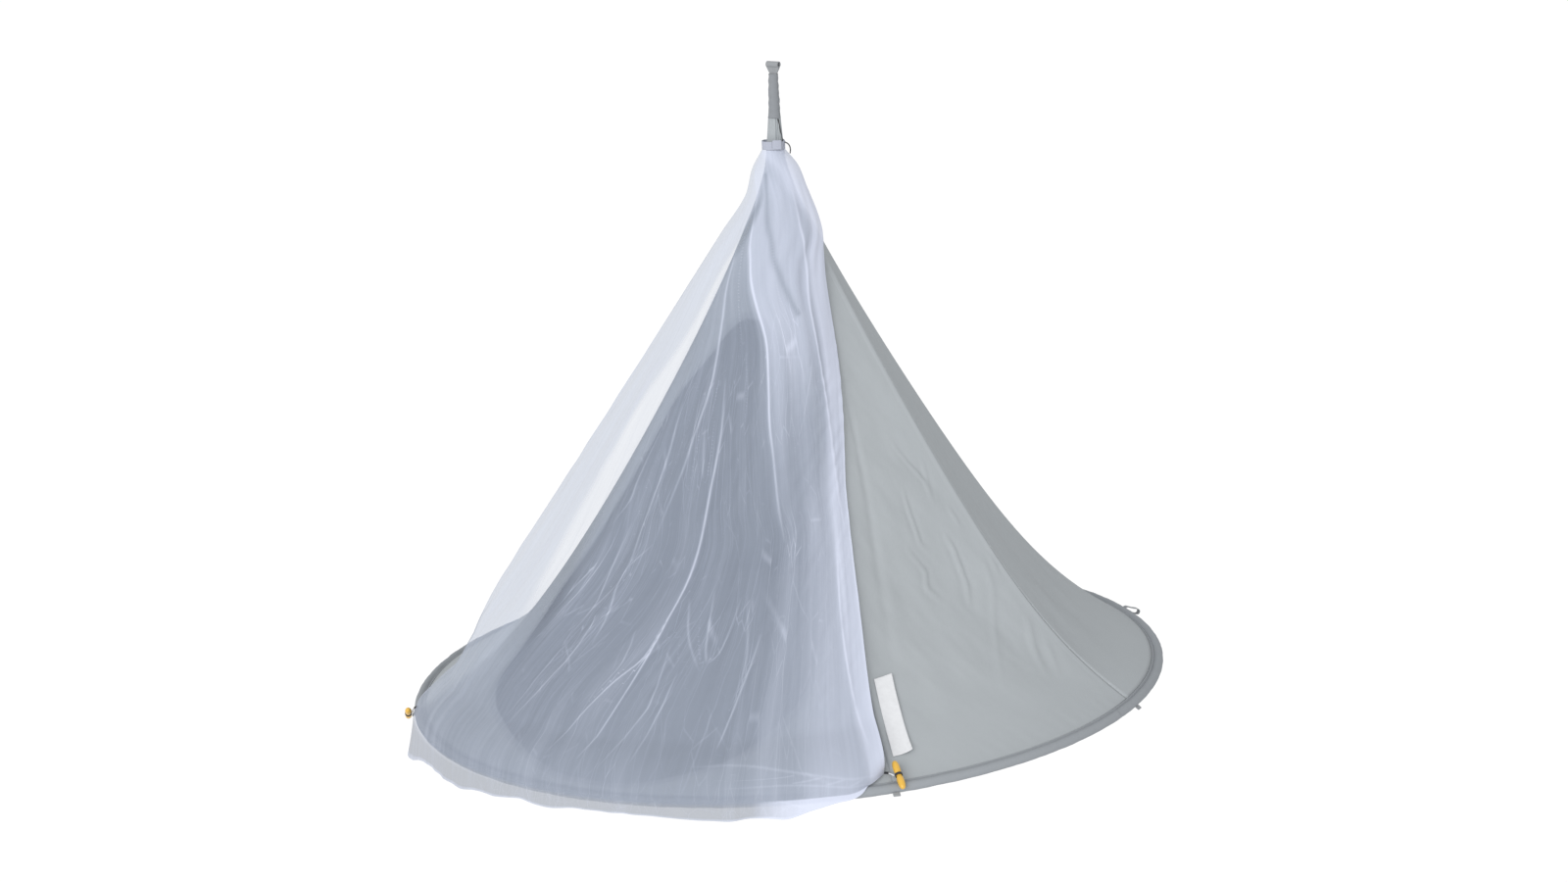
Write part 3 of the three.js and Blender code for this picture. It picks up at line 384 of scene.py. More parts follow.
def net_ends(across):
    touch = math.radians(NET_TOUCH)
    radius = HOOP_RADIUS + NET_OVER_TUBE * math.cos(touch)
    rise = NET_OVER_TUBE * math.sin(touch)
    left = np.clip(1 - across / NET_LEFT_END[0], 0, 1) ** 2
    right = np.clip(1 - (1 - across) / NET_RIGHT_END[0], 0, 1) ** 2
    r = radius + left * (NET_LEFT_END[1] - radius)
    z = rise + left * (NET_LEFT_END[2] - rise)
    r = r + right * (NET_RIGHT_END[1] - r)
    z = z + right * (NET_RIGHT_END[2] - z)
    return (*clear_of_tube(r, z), right)


def clear_of_tube(radius, rise):
    grow = np.maximum(NET_OVER_TUBE / np.hypot(radius - HOOP_RADIUS, rise), 1)
    return HOOP_RADIUS + (radius - HOOP_RADIUS) * grow, rise * grow


def clear_of_canopy(points, clearance):
    azimuth = np.degrees(np.arctan2(points[..., 1], points[..., 0]))
    rim = RIM_RISE + hoop_level(azimuth, RIM_RADIUS)
    up = (points[..., 2] - rim) / (APEX_RISE - HOOP_DROP - rim)
    inside = np.clip(up, 0, 1)
    centre = polar(HIGH_SIDE, LEAN * 4 * inside * (1 - inside), np.zeros(np.shape(up)))
    out = (points - centre)[..., :2]
    reach = np.linalg.norm(out, axis=-1)
    needed = canopy_radius(azimuth, up) + clearance
    grow = np.where(up < 0, 1, np.maximum(needed / reach, 1))
    moved = points.copy()
    moved[..., :2] = centre[..., :2] + out * grow[..., None]
    return moved


def net_flow(across, down):
    """Where the thread at this place hangs from: 0 to 1 across the net, the same all along a crease."""
    gather = smooth_table(down, NET_GATHER, 1)
    last = NET_GATHER[-1][1]
    flow = np.where(across < gather, across / gather * last, last + (across - gather) / (1 - gather) * (1 - last))
    drift = 0.11 * step_up(down, 0.65, 0.9)
    return flow + drift * np.sin(math.pi * np.clip(across / 0.76, 0, 1))


def net_relief(across, down, spread):
    """Small folds and creases between the net's main ones, in millimetres."""
    flow, y = net_flow(across, down), down * NET_DROP
    streaks = 0.8 * ripple(flow * NET_FLOW_WIDTH, y * 0.05, 38, 21, 14) * step_up(down, 0.03, 0.2)
    soft = 3.0 * ripple(flow * 700, y * 0.3, 190, 22)
    crumple = 0.7 * ripple(flow * spread, y * 0.5, 34, 23, 16) * step_up(down, 0.25, 0.5)
    distance, strong = nearest_crease(across, down)
    ridge = 3.4 * strong * np.exp(-((distance / 7) ** 2))
    return (streaks + soft * step_up(down, 0.08, 0.3) + crumple + ridge) * (1 - step_up(down, 0.93, 0.995))


def net_lengths(path):
    """A path over the net in millimetres of cloth, on a smooth line."""
    line = smooth_path([(a, b, 0) for a, b in path], 4)
    down = np.clip(line[:, 1], 0, 1)
    return np.stack([line[:, 0] * net_spread(down), down * NET_DROP], -1)


def nearest_crease(across, down):
    """Distance to the nearest crease in millimetres, with its side as the sign, and how strong it is there."""
    x, y = across * net_spread(down), down * NET_DROP
    nearest = np.full(np.shape(across), 40.0)
    strong = np.zeros(np.shape(across))
    for path, strength in NET_CREASES:
        distance, share = path_distance(x, y, net_lengths(path))
        nearer = np.abs(distance) < np.abs(nearest)
        nearest = np.where(nearer, distance, nearest)
        strong = np.where(nearer, strength * np.sin(math.pi * share) ** 0.6, strong)
    return nearest, strong


def net_spread(down):
    """How wide the net is at this height, in millimetres along its front's curve."""
    left, right = smooth_table(down, NET_SHAPE, 1), smooth_table(down, NET_SHAPE, 2)
    return np.radians(right - left) * smooth_table(down, NET_SHAPE, 3)


def cone_at(across, down):
    left, right = smooth_table(down, NET_SHAPE, 1), smooth_table(down, NET_SHAPE, 2)
    front, side = smooth_table(down, NET_SHAPE, 3), smooth_table(down, NET_SHAPE, 4)
    azimuth = left + (right - left) * across
    end_radius, end_rise, _ = net_ends(across)
    last = NET_SHAPE[-2][0]
    closing = np.clip((down - last) / (1 - last), 0, 1)
    spread = np.radians(right - left) * front
    radius = front + (side - front) * across**3 + fold_lift(across, down, spread)
    radius = radius + (end_radius - radius) * closing
    radius = radius - NET_LEFT_HOLLOW * np.sin(math.pi * down**1.3) * np.clip(1 - across / 0.3, 0, 1)
    near_corner = np.exp(-(((down - 0.91) / 0.09) ** 2)) * step_up(1 - down, 0, 0.05)
    radius = radius - NET_CORNER_HOLLOW * near_corner * np.clip(1 - across / 0.15, 0, 1)
    foot = hoop_level(azimuth, HOOP_RADIUS) + end_rise
    points = polar(azimuth, radius, NET_TOP + (foot - NET_TOP) * down)
    points[..., 1] += COLLAR_ASIDE * np.clip(1 - down / NET_COLLAR_SHARE, 0, 1)
    return points


def skirt_at(across, over, hung):
    """The net below the top of the hoop's tube: over is the share of the way round it, hung the way down."""
    end_radius, end_rise, right = net_ends(across)
    held = np.clip(3 * right, 0, 1)
    over, hung = over * (1 - held), hung * (1 - held)
    reach = np.hypot(end_radius - HOOP_RADIUS, end_rise)
    turn = np.arctan2(end_rise, end_radius - HOOP_RADIUS) * (1 - over)
    flutter = 1 + 0.08 * ripple(across * 100, 0 * across, 5, 31)
    out = smooth_table(across, HEM, 2) * hung**1.3 * flutter
    out = out + 1.2 * hung * np.sin(across * 110 + 2 * np.sin(across * 31)) * step_up(across, 0.02, 0.06)
    drop = smooth_table(across, HEM, 1) * hung * (1 + 0.012 * np.sin(across * 90))
    slip = 3 * held * (over + hung) / 2
    radius, rise = clear_of_tube(
        HOOP_RADIUS + reach * np.cos(turn) + out + slip, reach * np.sin(turn) - drop - slip / 2
    )
    left, right_edge = NET_SHAPE[-1][1:3]
    return at_hoop(left + (right_edge - left) * across, radius, rise)


def net_point(across, level):
    """The net's place: level 0 to 1 is its cone, 1 to 1.06 goes over the tube and 1.06 to 1.16 hangs."""
    down = np.clip(level, 0, 1)
    cone = cone_at(across, down)
    spread = net_spread(down)
    step = 1e-3
    along = cone_at(across, np.minimum(down + step, 1)) - cone_at(across, np.maximum(down - step, 0))
    sideways = cone_at(np.minimum(across + step, 1), down) - cone_at(np.maximum(across - step, 0), down)
    outward = unit(np.cross(along, sideways))
    outward *= np.sign(np.sum(outward * cone * [1, 1, 0], -1, keepdims=True) + 1e-9)
    cone = cone + outward * net_relief(across, down, spread)[..., None]
    cone = np.where((down > 0)[..., None], clear_of_canopy(cone, NET_CLEAR - 2), cone)
    skirt = skirt_at(across, np.clip((level - 1) / 0.06, 0, 1), np.clip((level - 1.06) / 0.1, 0, 1))
    return np.where((level <= 1)[..., None], cone, skirt)


# Mesh helpers


def finished(name, bm, material, smooth=True):
    """Turns a bmesh into an object at the origin with one material."""
    mesh = bpy.data.meshes.new(name)
    bm.to_mesh(mesh)
    bm.free()
    mesh.polygons.foreach_set("use_smooth", [smooth] * len(mesh.polygons))
    mesh.materials.append(material)
    piece = bpy.data.objects.new(name, mesh)
    bpy.context.scene.collection.objects.link(piece)
    return piece


def grid_cloth(name, columns, rows, place, material, size, closed=False, facing=None):
    """A cloth grid whose corners place(across, up) puts in space; its UV map is in metres of cloth."""
    bm = bmesh.new()
    bmesh.ops.create_grid(bm, x_segments=columns, y_segments=rows, size=0.5)
    bm.verts.ensure_lookup_table()
    flat = np.array([v.co[:2] for v in bm.verts]) + 0.5
    points = place(flat[:, 0], flat[:, 1]) * MM
    uv = bm.loops.layers.uv.new("cloth")
    for face in bm.faces:
        for loop in face.loops:
            across, up = flat[loop.vert.index]
            loop[uv].uv = (across * size[0], up * size[1])
    for vert, point in zip(bm.verts, points):
        vert.co = point
    if closed:
        bmesh.ops.remove_doubles(bm, verts=bm.verts, dist=2e-6)
    bm.normal_update()
    if facing is not None:
        total = sum((f.normal.dot(facing(f.calc_center_median())) * f.calc_area() for f in bm.faces))
        if total < 0:
            bmesh.ops.reverse_faces(bm, faces=bm.faces)
    return finished(name, bm, material)


def from_axis(centre):
    return Vector((centre.x, centre.y, 0.35 * max(centre.xy.length, 0.01))).normalized()


def thicken(piece, thickness, offset=-1.0):
    wall = piece.modifiers.new("cloth thickness", "SOLIDIFY")
    wall.thickness = thickness
    wall.offset = offset
    wall.use_even_offset = False
    return piece


def cord_tube(name, points, radius, material, sides=12, steps=10, ends=True):
    """A round cord along a smooth line through points, in millimetres."""
    curve = bpy.data.curves.new(name, "CURVE")
    curve.dimensions = "3D"
    line = curve.splines.new("POLY")
    path = smooth_path(points, steps)
    line.points.add(len(path) - 1)
    for dot, place in zip(line.points, path):
        dot.co = (*(place * MM), 1)
    curve.bevel_depth = radius * MM
    curve.bevel_resolution = sides // 4
    curve.use_fill_caps = ends
    curve.materials.append(material)
    cord = bpy.data.objects.new(name, curve)
    bpy.context.scene.collection.objects.link(cord)
    return cord


def smooth_path(points, steps):
    points = np.array(points, float)
    spans = len(points) - 1
    t = np.linspace(0, spans, spans * steps + 1)
    padded = np.vstack([2 * points[0] - points[1], points, 2 * points[-1] - points[-2]])
    k = np.minimum(t.astype(int), spans - 1)
    s = (t - k)[:, None]
    a, b, c, d = padded[k], padded[k + 1], padded[k + 2], padded[k + 3]
    return 0.5 * (2 * b + (c - a) * s + (2 * a - 5 * b + 4 * c - d) * s**2 + (3 * b - a - 3 * c + d) * s**3)


def spun(name, profile, material, steps=48, place=None):
    """A turned piece from (radius, height) in millimetres, put in place by a matrix."""
    bm = bmesh.new()
    verts = [bm.verts.new((r * MM, 0, z * MM)) for r, z in profile]
    edges = [bm.edges.new(pair) for pair in zip(verts, verts[1:])]
    bmesh.ops.spin(
        bm, geom=verts + edges, axis=(0, 0, 1), cent=(0, 0, 0), angle=2 * math.pi,
        steps=steps, use_merge=True,
    )
    bmesh.ops.remove_doubles(bm, verts=bm.verts, dist=1e-6)
    bmesh.ops.recalc_face_normals(bm, faces=bm.faces)
    if place is not None:
        bmesh.ops.transform(bm, matrix=place, verts=bm.verts)
    return finished(name, bm, material)


# Finishes


class Finish:
    """A node material around one shader, with short ways to add and join nodes."""

    def __init__(self, name, roughness, **sockets):
        self.material = bpy.data.materials.new(name)
        self.material.use_nodes = True
        self.tree = self.material.node_tree
        self.shader = self.tree.nodes["Principled BSDF"]
        self.shader.inputs["Roughness"].default_value = roughness
        for socket, value in sockets.items():
            self.shader.inputs[socket.replace("_", " ")].default_value = value

    def node(self, kind, inputs=None, **settings):
        made = self.tree.nodes.new("ShaderNode" + kind)
        for key, value in settings.items():
            setattr(made, key, value)
        for key, value in (inputs or {}).items():
            if isinstance(value, bpy.types.NodeSocket):
                self.tree.links.new(value, made.inputs[key])
            else:
                made.inputs[key].default_value = value
        return made

    def maths(self, operation, first, second=0.0, third=0.0):
        return self.node("Math", {0: first, 1: second, 2: third}, operation=operation).outputs[0]

    def object_place(self):
        return self.node("TexCoord").outputs["Object"]

    def cloth_place(self):
        return self.node("UVMap", uv_map="cloth").outputs[0]

    def noise(self, place, scale, detail=2.0, stretch=None, roughness=0.5, distortion=0.0):
        if stretch is not None:
            place = self.node("Mapping", {"Vector": place, "Scale": stretch}).outputs[0]
        wanted = {"Vector": place, "Scale": scale, "Detail": detail, "Roughness": roughness, "Distortion": distortion}
        return self.node("TexNoise", wanted).outputs["Fac"]

    def threads(self, place, pitch):
        """Height of a plain weave with this pitch in metres."""
        apart = self.node("SeparateXYZ", {0: place})
        turns = 2 * math.pi / pitch
        warp = self.maths("SINE", self.maths("MULTIPLY", apart.outputs[0], turns))
        weft = self.maths("SINE", self.maths("MULTIPLY", apart.outputs[1], turns))
        return self.maths("MULTIPLY", warp, weft)

    def cracks(self, place, scale, along, width):
        """Thin sharp lines that branch, as in crumpled thin cloth: the borders of long uneven cells."""
        bent = self.node("TexNoise", {"Vector": place, "Scale": scale * 0.8, "Detail": 2.0}).outputs["Color"]
        bent = self.node("VectorMath", {0: bent, 1: (0.5, 0.5, 0.5)}, operation="SUBTRACT").outputs[0]
        bent = self.node("VectorMath", {0: bent, "Scale": 0.22 / scale}, operation="SCALE").outputs[0]
        bent = self.node("VectorMath", {0: place, 1: bent}).outputs[0]
        bent = self.node("Mapping", {"Vector": bent, "Scale": (1.0, along, 1.0)}).outputs[0]
        wanted = {"Vector": bent, "Scale": scale, "Randomness": 1.0}
        cells = self.node("TexVoronoi", wanted, feature="DISTANCE_TO_EDGE", voronoi_dimensions="2D")
        near = {"Value": cells.outputs["Distance"], "From Max": width * scale, "To Min": 1.0, "To Max": 0.0}
        return self.node("MapRange", near, interpolation_type="SMOOTHSTEP").outputs[0]

    def spread(self, value, low, high):
        return self.node("MapRange", {"Value": value, "To Min": low, "To Max": high}).outputs[0]

    def tint(self, colour, brightness):
        """A colour made lighter or darker by a value around 1."""
        mixed = self.node("VectorMath", {0: colour, "Scale": brightness}, operation="SCALE")
        return mixed.outputs[0]

    def colour(self, socket):
        self.tree.links.new(socket, self.shader.inputs["Base Color"])

    def bump(self, heights):
        """heights: a height socket, its strength and its distance in metres, for each layer of relief."""
        normal = None
        for height, strength, distance in heights:
            wanted = {"Height": height, "Strength": strength, "Distance": distance}
            if normal is not None:
                wanted["Normal"] = normal
            normal = self.node("Bump", wanted).outputs[0]
        self.tree.links.new(normal, self.shader.inputs["Normal"])


def cloth_finish(name, colour, pitch=0.0008, roughness=0.88, mottle=0.05, seam=None):
    """Plain-woven outdoor cloth: fine weave, slubs, soft marks, small creases, and a dark line of painted shade along
    a groove.
    """
    finish = Finish(name, roughness, Specular_IOR_Level=0.15)
    place, cloth = finish.object_place(), finish.cloth_place()
    soft = finish.noise(place, 3.2, 3.0)
    slubs = finish.noise(cloth, 900.0, 2.0, (1.0, 0.08, 1.0))
    marks = finish.noise(place, 16.0, 4.0, roughness=0.6)
    shade = finish.maths("ADD", finish.spread(soft, 1 - mottle, 1 + mottle), finish.spread(slubs, -0.03, 0.03))
    shade = finish.maths("ADD", shade, finish.spread(marks, -0.012, 0.012))
    # painted shade: a thin dark line along the groove at this place round the section
    if seam is not None:
        off = finish.maths("SUBTRACT", finish.node("SeparateXYZ", {0: cloth}).outputs[1], seam)
        line = {"Value": finish.maths("ABSOLUTE", off), "From Min": 0.0002, "From Max": 0.0011, "To Min": 0.4}
        shade = finish.maths("MULTIPLY", shade, finish.node("MapRange", line).outputs[0])
    finish.colour(finish.tint((*colour,), shade))
    creases = finish.noise(place, 26.0, 3.0, (1.0, 1.0, 0.55), 0.6, 0.8)
    finish.bump([(creases, 0.35, 0.0012), (finish.threads(cloth, pitch), 0.25, 0.0001), (slubs, 0.2, 0.0001)])
    return finish.material


def webbing_finish(name, colour, pitch=0.0022):
    """Woven webbing with ribs across it and a denser edge."""
    finish = Finish(name, 0.85, Specular_IOR_Level=0.15)
    cloth = finish.cloth_place()
    rows = finish.threads(cloth, pitch)
    wear = finish.noise(finish.object_place(), 60.0, 4.0, roughness=0.65)
    shade = finish.maths("ADD", finish.spread(rows, 0.96, 1.02), finish.spread(wear, -0.1, 0.06))
    finish.colour(finish.tint((*colour,), shade))
    finish.bump([(wear, 0.3, 0.0005), (rows, 0.5, 0.0003)])
    return finish.material


def net_finish(name, thin, dense, hanging):
    """Sheer netting: denser and whiter where its folds lie double, in its creases and its fine crumples, and brighter
    as painted light along its right edge; its hem below the hoop is denser and darker, the darkness painted shade.
    """
    finish = Finish(name, 0.9, Sheen_Weight=0.08)
    cloth = finish.cloth_place()
    marks = {}
    for mark in ("layers", "crease", "fold", "crumple"):
        marks[mark] = finish.node("Attribute", attribute_name="net_" + mark).outputs["Fac"]
    broken = finish.spread(finish.noise(cloth, 9.0, 3.0), 0.5, 1.3)
    away = finish.maths("MULTIPLY", marks["crease"], 0.45)
    away = finish.maths("MULTIPLY", away, away)
    line = finish.maths("EXPONENT", finish.maths("MULTIPLY", away, -1.0))
    line = finish.maths("MULTIPLY", finish.maths("MULTIPLY", line, broken), marks["fold"])
    veins = 0.0
    kinds = [
        (finish.cracks(cloth, 11.0, 0.07, 0.0017), 6.0, 0.8),
        (finish.cracks(cloth, 24.0, 0.07, 0.0012), 9.0, 0.7),
        (finish.cracks(cloth, 16.0, 0.2, 0.0014), 7.0, 0.5),
        (finish.cracks(cloth, 46.0, 0.14, 0.0008), 12.0, 0.6),
    ]
    for lines, scale, seen in kinds:
        patches = finish.spread(finish.noise(cloth, scale, 2.0, (1.0, 0.5, 1.0)), -1.2, 2.2)
        patches = finish.node("Clamp", {"Value": patches}).outputs[0]
        patches = finish.maths("MULTIPLY", patches, seen)
        veins = finish.maths("ADD", veins, finish.maths("MULTIPLY", lines, patches))
    veins = finish.maths("MULTIPLY", veins, marks["crumple"])
    streaks = finish.noise(cloth, 70.0, 3.0, (1.0, 0.05, 1.0), 0.6)
    broad = finish.noise(cloth, 13.0, 2.0, (1.0, 0.08, 1.0))
    thick = finish.maths("ADD", marks["layers"], finish.maths("MULTIPLY", line, 0.75))
    thick = finish.maths("ADD", thick, finish.maths("MULTIPLY", veins, 0.5))
    thick = finish.maths("ADD", thick, finish.spread(streaks, -0.14, 0.14))
    thick = finish.maths("ADD", thick, finish.spread(broad, -0.15, 0.15))
    level = finish.node("SeparateXYZ", {0: cloth}).outputs[1]
    below = {"Value": level, "From Min": 1.03 * NET_FLAT[1], "From Max": 1.08 * NET_FLAT[1], "To Max": 0.75}
    skirt = finish.node("MapRange", below).outputs[0]
    opaque = finish.node("Clamp", {"Value": finish.maths("ADD", thick, skirt), "Min": NET_THINNEST}).outputs[0]
    alpha = {"Value": opaque, "From Min": NET_THINNEST, "To Min": 0.34, "To Max": 0.94}
    finish.tree.links.new(finish.node("MapRange", alpha).outputs[0], finish.shader.inputs["Alpha"])
    # below the hoop: the hem's darker colour is painted shade under the hoop; its higher alpha is the net hanging in
    # more layers
    single = finish.node("Mix", {0: skirt, 6: (*thin, 1), 7: (*hanging, 1)}, data_type="RGBA").outputs[2]
    finish.colour(finish.node("Mix", {0: thick, 6: single, 7: (*dense, 1)}, data_type="RGBA").outputs[2])
    finish.bump([(veins, 0.3, 0.002), (streaks, 0.25, 0.001)])
    return finish.material


def plain_finish(name, colour, roughness, grain=400.0, **sockets):
    """Small smooth parts: moulded plastic, elastic or tape, with fine grain and slight wear."""
    finish = Finish(name, roughness, **sockets)
    place = finish.object_place()
    wear = finish.noise(place, 90.0, 4.0, roughness=0.6)
    fine = finish.noise(place, grain, 2.0)
    finish.colour(finish.tint((*colour,), finish.spread(wear, 0.9, 1.1)))
    finish.bump([(fine, 0.15, 0.0002)])
    return finish.material


# Settings


def thickness_setting(name, description, default):
    return FloatProperty(name=name, description=description, default=default, unit="LENGTH")


class TentSizes(bpy.types.PropertyGroup):
    """Sizes that a user may change."""

    cloth: thickness_setting("Canopy cloth", "Thickness of the canopy's cloth", 0.0012)
    floor_cloth: thickness_setting("Floor cloth", "Thickness of the floor's cloth", 0.0013)
    webbing: thickness_setting("Webbing", "Thickness of the loops' webbing", 0.0014)
    tape: thickness_setting("Tape", "Thickness of the net's collar and its tab", 0.001)


def colour_setting(name, description, default):
    return FloatVectorProperty(
        name=name, description=description, default=default, subtype="COLOR", size=3, min=0, max=1
    )


class TentColours(bpy.types.PropertyGroup):
    """Colours that a user may change."""

    canopy: colour_setting("Canopy", "Cool light grey of the canopy", (0.342, 0.366, 0.383))
    hoop: colour_setting("Hoop sleeve", "Grey of the hoop's sleeve and the door's tape", (0.262, 0.28, 0.3))
    floor: colour_setting("Floor", "Grey of the floor cloth", (0.36, 0.39, 0.42))
    strap: colour_setting("Webbing", "Pale grey of the webbing", (0.285, 0.298, 0.312))
    strap_sleeve: colour_setting("Strap sleeve", "Grey of the strap's sleeve", (0.212, 0.224, 0.24))
    net_thin: colour_setting("Net, single", "The net where it lies single", (0.31, 0.352, 0.435))
    # also used for the right edge's painted light in net_layers
    net_dense: colour_setting("Net, double", "The net where its folds lie double", (0.53, 0.565, 0.675))
    # darker than the single net: painted shade on the hem under the hoop
    net_hem_shaded: colour_setting("Net, hem", "The net below the hoop", (0.26, 0.272, 0.295))
    collar: colour_setting("Collar", "The net's gathered collar", (0.35, 0.37, 0.435))
    white: colour_setting("White tape", "Tab and label", (0.62, 0.63, 0.65))
    black: colour_setting("Black", "Cord and elastic", (0.018, 0.018, 0.02))
    amber: colour_setting("Toggle", "Amber plastic of the toggles", (0.63, 0.37, 0.045))


# Pieces


def ride_and_replace(piece, slot, *nodes):
    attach(piece, "root")
    if nodes:
        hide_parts(*nodes)
    return piece


def shared_finish(name, make):
    return bpy.data.materials.get(name) or make()


def canopy_finish(colours):
    return shared_finish("canopy_cloth", lambda: cloth_finish("canopy_cloth", colours.canopy))


def tape_finish(colours):
    return shared_finish("edge_tape", lambda: cloth_finish("edge_tape", colours.hoop, 0.0007, 0.85, 0.04))


def strap_finish(colours):
    return shared_finish("woven_webbing", lambda: webbing_finish("woven_webbing", colours.strap))


def black_finish(colours):
    return shared_finish("black_twine", lambda: plain_finish("black_twine", colours.black, 0.6, 1500.0))


def gore_place(start, end, number):
    def place(across, up):
        azimuth = start + (end - start) * across
        share = CANOPY_TOP * up**1.25
        edge = np.minimum(across, 1 - across) * math.radians(end - start) * canopy_radius(azimuth, share)
        relief = canopy_relief(azimuth, share, edge)
        if number == 1:
            relief = relief + gore_creases(azimuth, share) * step_up(edge, 3, 16)
        points = canopy_point(azimuth, share) + canopy_outward(azimuth, share) * relief[:, None]
        aside = polar(azimuth + 90, 1, 0) * (SEAM_GAP * (1 - 2 * across))[:, None]
        return points + aside * ((across == 0) | (across == 1))[:, None]

    return place


# Flat width and length of each gore in metres
GORE_SHEETS = [(0.74, 1.62)] * 2 + [(0.66, 1.62)] * 4


class TENT_OT_gores(bpy.types.Operator):
    """Build the six gores of the canopy"""

    bl_idname = "tent.gores"
    bl_label = "Gores"

    def execute(self, context):
        scene = context.scene
        material = canopy_finish(scene.tent_colours)
        for number, (start, end) in enumerate(zip(SEAMS[1:], SEAMS[2:]), 1):
            width, length = GORE_SHEETS[number - 1]
            fine = 2 if number == 1 else 1
            piece = grid_cloth(
                f"canopy_gore_{number}", COLUMNS_PER_GORE * fine, CANOPY_ROWS * fine,
                gore_place(start, end, number), material, (width, length), facing=from_axis,
            )
            thicken(piece, scene.tent_sizes.cloth)
            ride_and_replace(piece, "tent_cloth", f"gore_{number}")
        return {"FINISHED"}


def door_reach():
    """The door's edge as direction and reach from the door's middle, in the panel's flat coordinates."""
    middle, half = (SEAMS[0] + SEAMS[1]) / 2, (SEAMS[1] - SEAMS[0]) / 2
    limit = half - DOOR_MARGIN
    flat = []
    for aside, up in DOOR_EDGE:
        reach = float(canopy_radius(np.array([middle]), np.array([up]))[0]) * math.radians(1)
        flat.append((min(max(aside / reach, -limit), limit) / half, up - DOOR_CENTRE_UP, 0))
    loop = smooth_path(flat[-2:] + flat + flat[:3], 30)
    angle = np.arctan2(loop[:, 1], loop[:, 0])
    order = np.argsort(angle)
    return angle[order], np.hypot(loop[:, 0], loop[:, 1])[order]


def panel_edge(rim, side, top):
    """Points round the door panel's own edge as (across, up)."""
    rows = [CANOPY_TOP * (i / side) ** 1.25 for i in range(side + 1)]
    edge = [(i / rim, 0) for i in range(rim)]
    edge += [(1, rows[i]) for i in range(side)]
    edge += [(1 - i / top, CANOPY_TOP) for i in range(top)]
    edge += [(0, rows[i]) for i in range(side, 0, -1)]
    return np.array(edge, float)


# How many of the panel's rays end on its rim, on each side and at its top
DOOR_RIM, DOOR_SIDE, DOOR_TOP = 120, 130, 14
# The folded tape's outline: across the door's edge, and depth into the cloth
TAPE_SECTION = [
    (-9, 0.3), (-8.4, -0.5), (0, -1.1), (5, -1.3), (6.9, 0.6), (5, 2.7), (0, 2.6), (-8.4, 2), (-9, 1.2),
]


def door_rays():
    """The door panel's rays: their ends on the door's edge and on the panel's own edge."""
    edge = panel_edge(DOOR_RIM, DOOR_SIDE, DOOR_TOP)
    outer = np.stack([edge[:, 0] * 2 - 1, edge[:, 1] - DOOR_CENTRE_UP], -1)
    directions, reaches = door_reach()
    angle = np.arctan2(outer[:, 1], outer[:, 0])
    reach = np.interp(angle, directions, reaches, period=2 * math.pi)
    return np.stack([np.cos(angle), np.sin(angle)], -1) * reach[:, None], outer


def door_azimuth(flat_x):
    return (SEAMS[0] + SEAMS[1]) / 2 + flat_x * (SEAMS[1] - SEAMS[0]) / 2


class TENT_OT_door(bpy.types.Operator):
    """Build the door panel and the tape round its door"""

    bl_idname = "tent.door"
    bl_label = "Door panel"

    def execute(self, context):
        scene = context.scene
        inner, outer = door_rays()
        count = len(inner)
        half_turn = math.radians(SEAMS[1] - SEAMS[0]) / 2

        def panel(around, out):
            ray = np.round(around * count).astype(int) % count
            share = (1 - (1 - out) ** 1.5)[:, None]
            flat = inner[ray] + (outer[ray] - inner[ray]) * share
            azimuth, up = door_azimuth(flat[:, 0]), flat[:, 1] + DOOR_CENTRE_UP
            edge = (1 - np.abs(flat[:, 0])) * half_turn * canopy_radius(azimuth, up)
            relief = canopy_relief(azimuth, up, edge) * np.where(out < 0.04, 0.4, 1)
            return canopy_point(azimuth, up) + canopy_outward(azimuth, up) * relief[:, None]

        piece = grid_cloth(
            "canopy_door_panel", count, 44, panel, canopy_finish(scene.tent_colours), (4.4, 0.5),
            closed=True, facing=from_axis,
        )
        thicken(piece, scene.tent_sizes.cloth)
        ride_and_replace(piece, "tent_cloth", "door_panel")

        section = np.array(TAPE_SECTION + TAPE_SECTION[:1], float)
        azimuth, up = door_azimuth(inner[:, 0]), inner[:, 1] + DOOR_CENTRE_UP
        edge = canopy_point(azimuth, up)
        outward = canopy_outward(azimuth, up)
        along = unit(np.roll(edge, -1, 0) - np.roll(edge, 1, 0))
        to_door = unit(np.cross(along, outward))
        middle = canopy_point(np.array([door_azimuth(0)]), np.array([DOOR_CENTRE_UP]))
        to_door *= np.sign(np.sum(to_door * (middle - edge), -1, keepdims=True))

        def tape(around, turn):
            k = np.round(around * count).astype(int) % count
            corner = turn * (len(section) - 1)
            t = np.interp(corner, range(len(section)), section[:, 0])
            depth = np.interp(corner, range(len(section)), section[:, 1])
            t = t + 0.4 * ripple(around * 3000, 0 * around, 60, 41)
            return edge[k] + to_door[k] * t[:, None] - outward[k] * depth[:, None]

        piping = grid_cloth(
            "door_edge_tape", count, 18, tape, tape_finish(scene.tent_colours), (2.9, 0.04), closed=True
        )
        recalculate(piping)
        ride_and_replace(piping, "hoop_cloth", "door_binding")
        return {"FINISHED"}


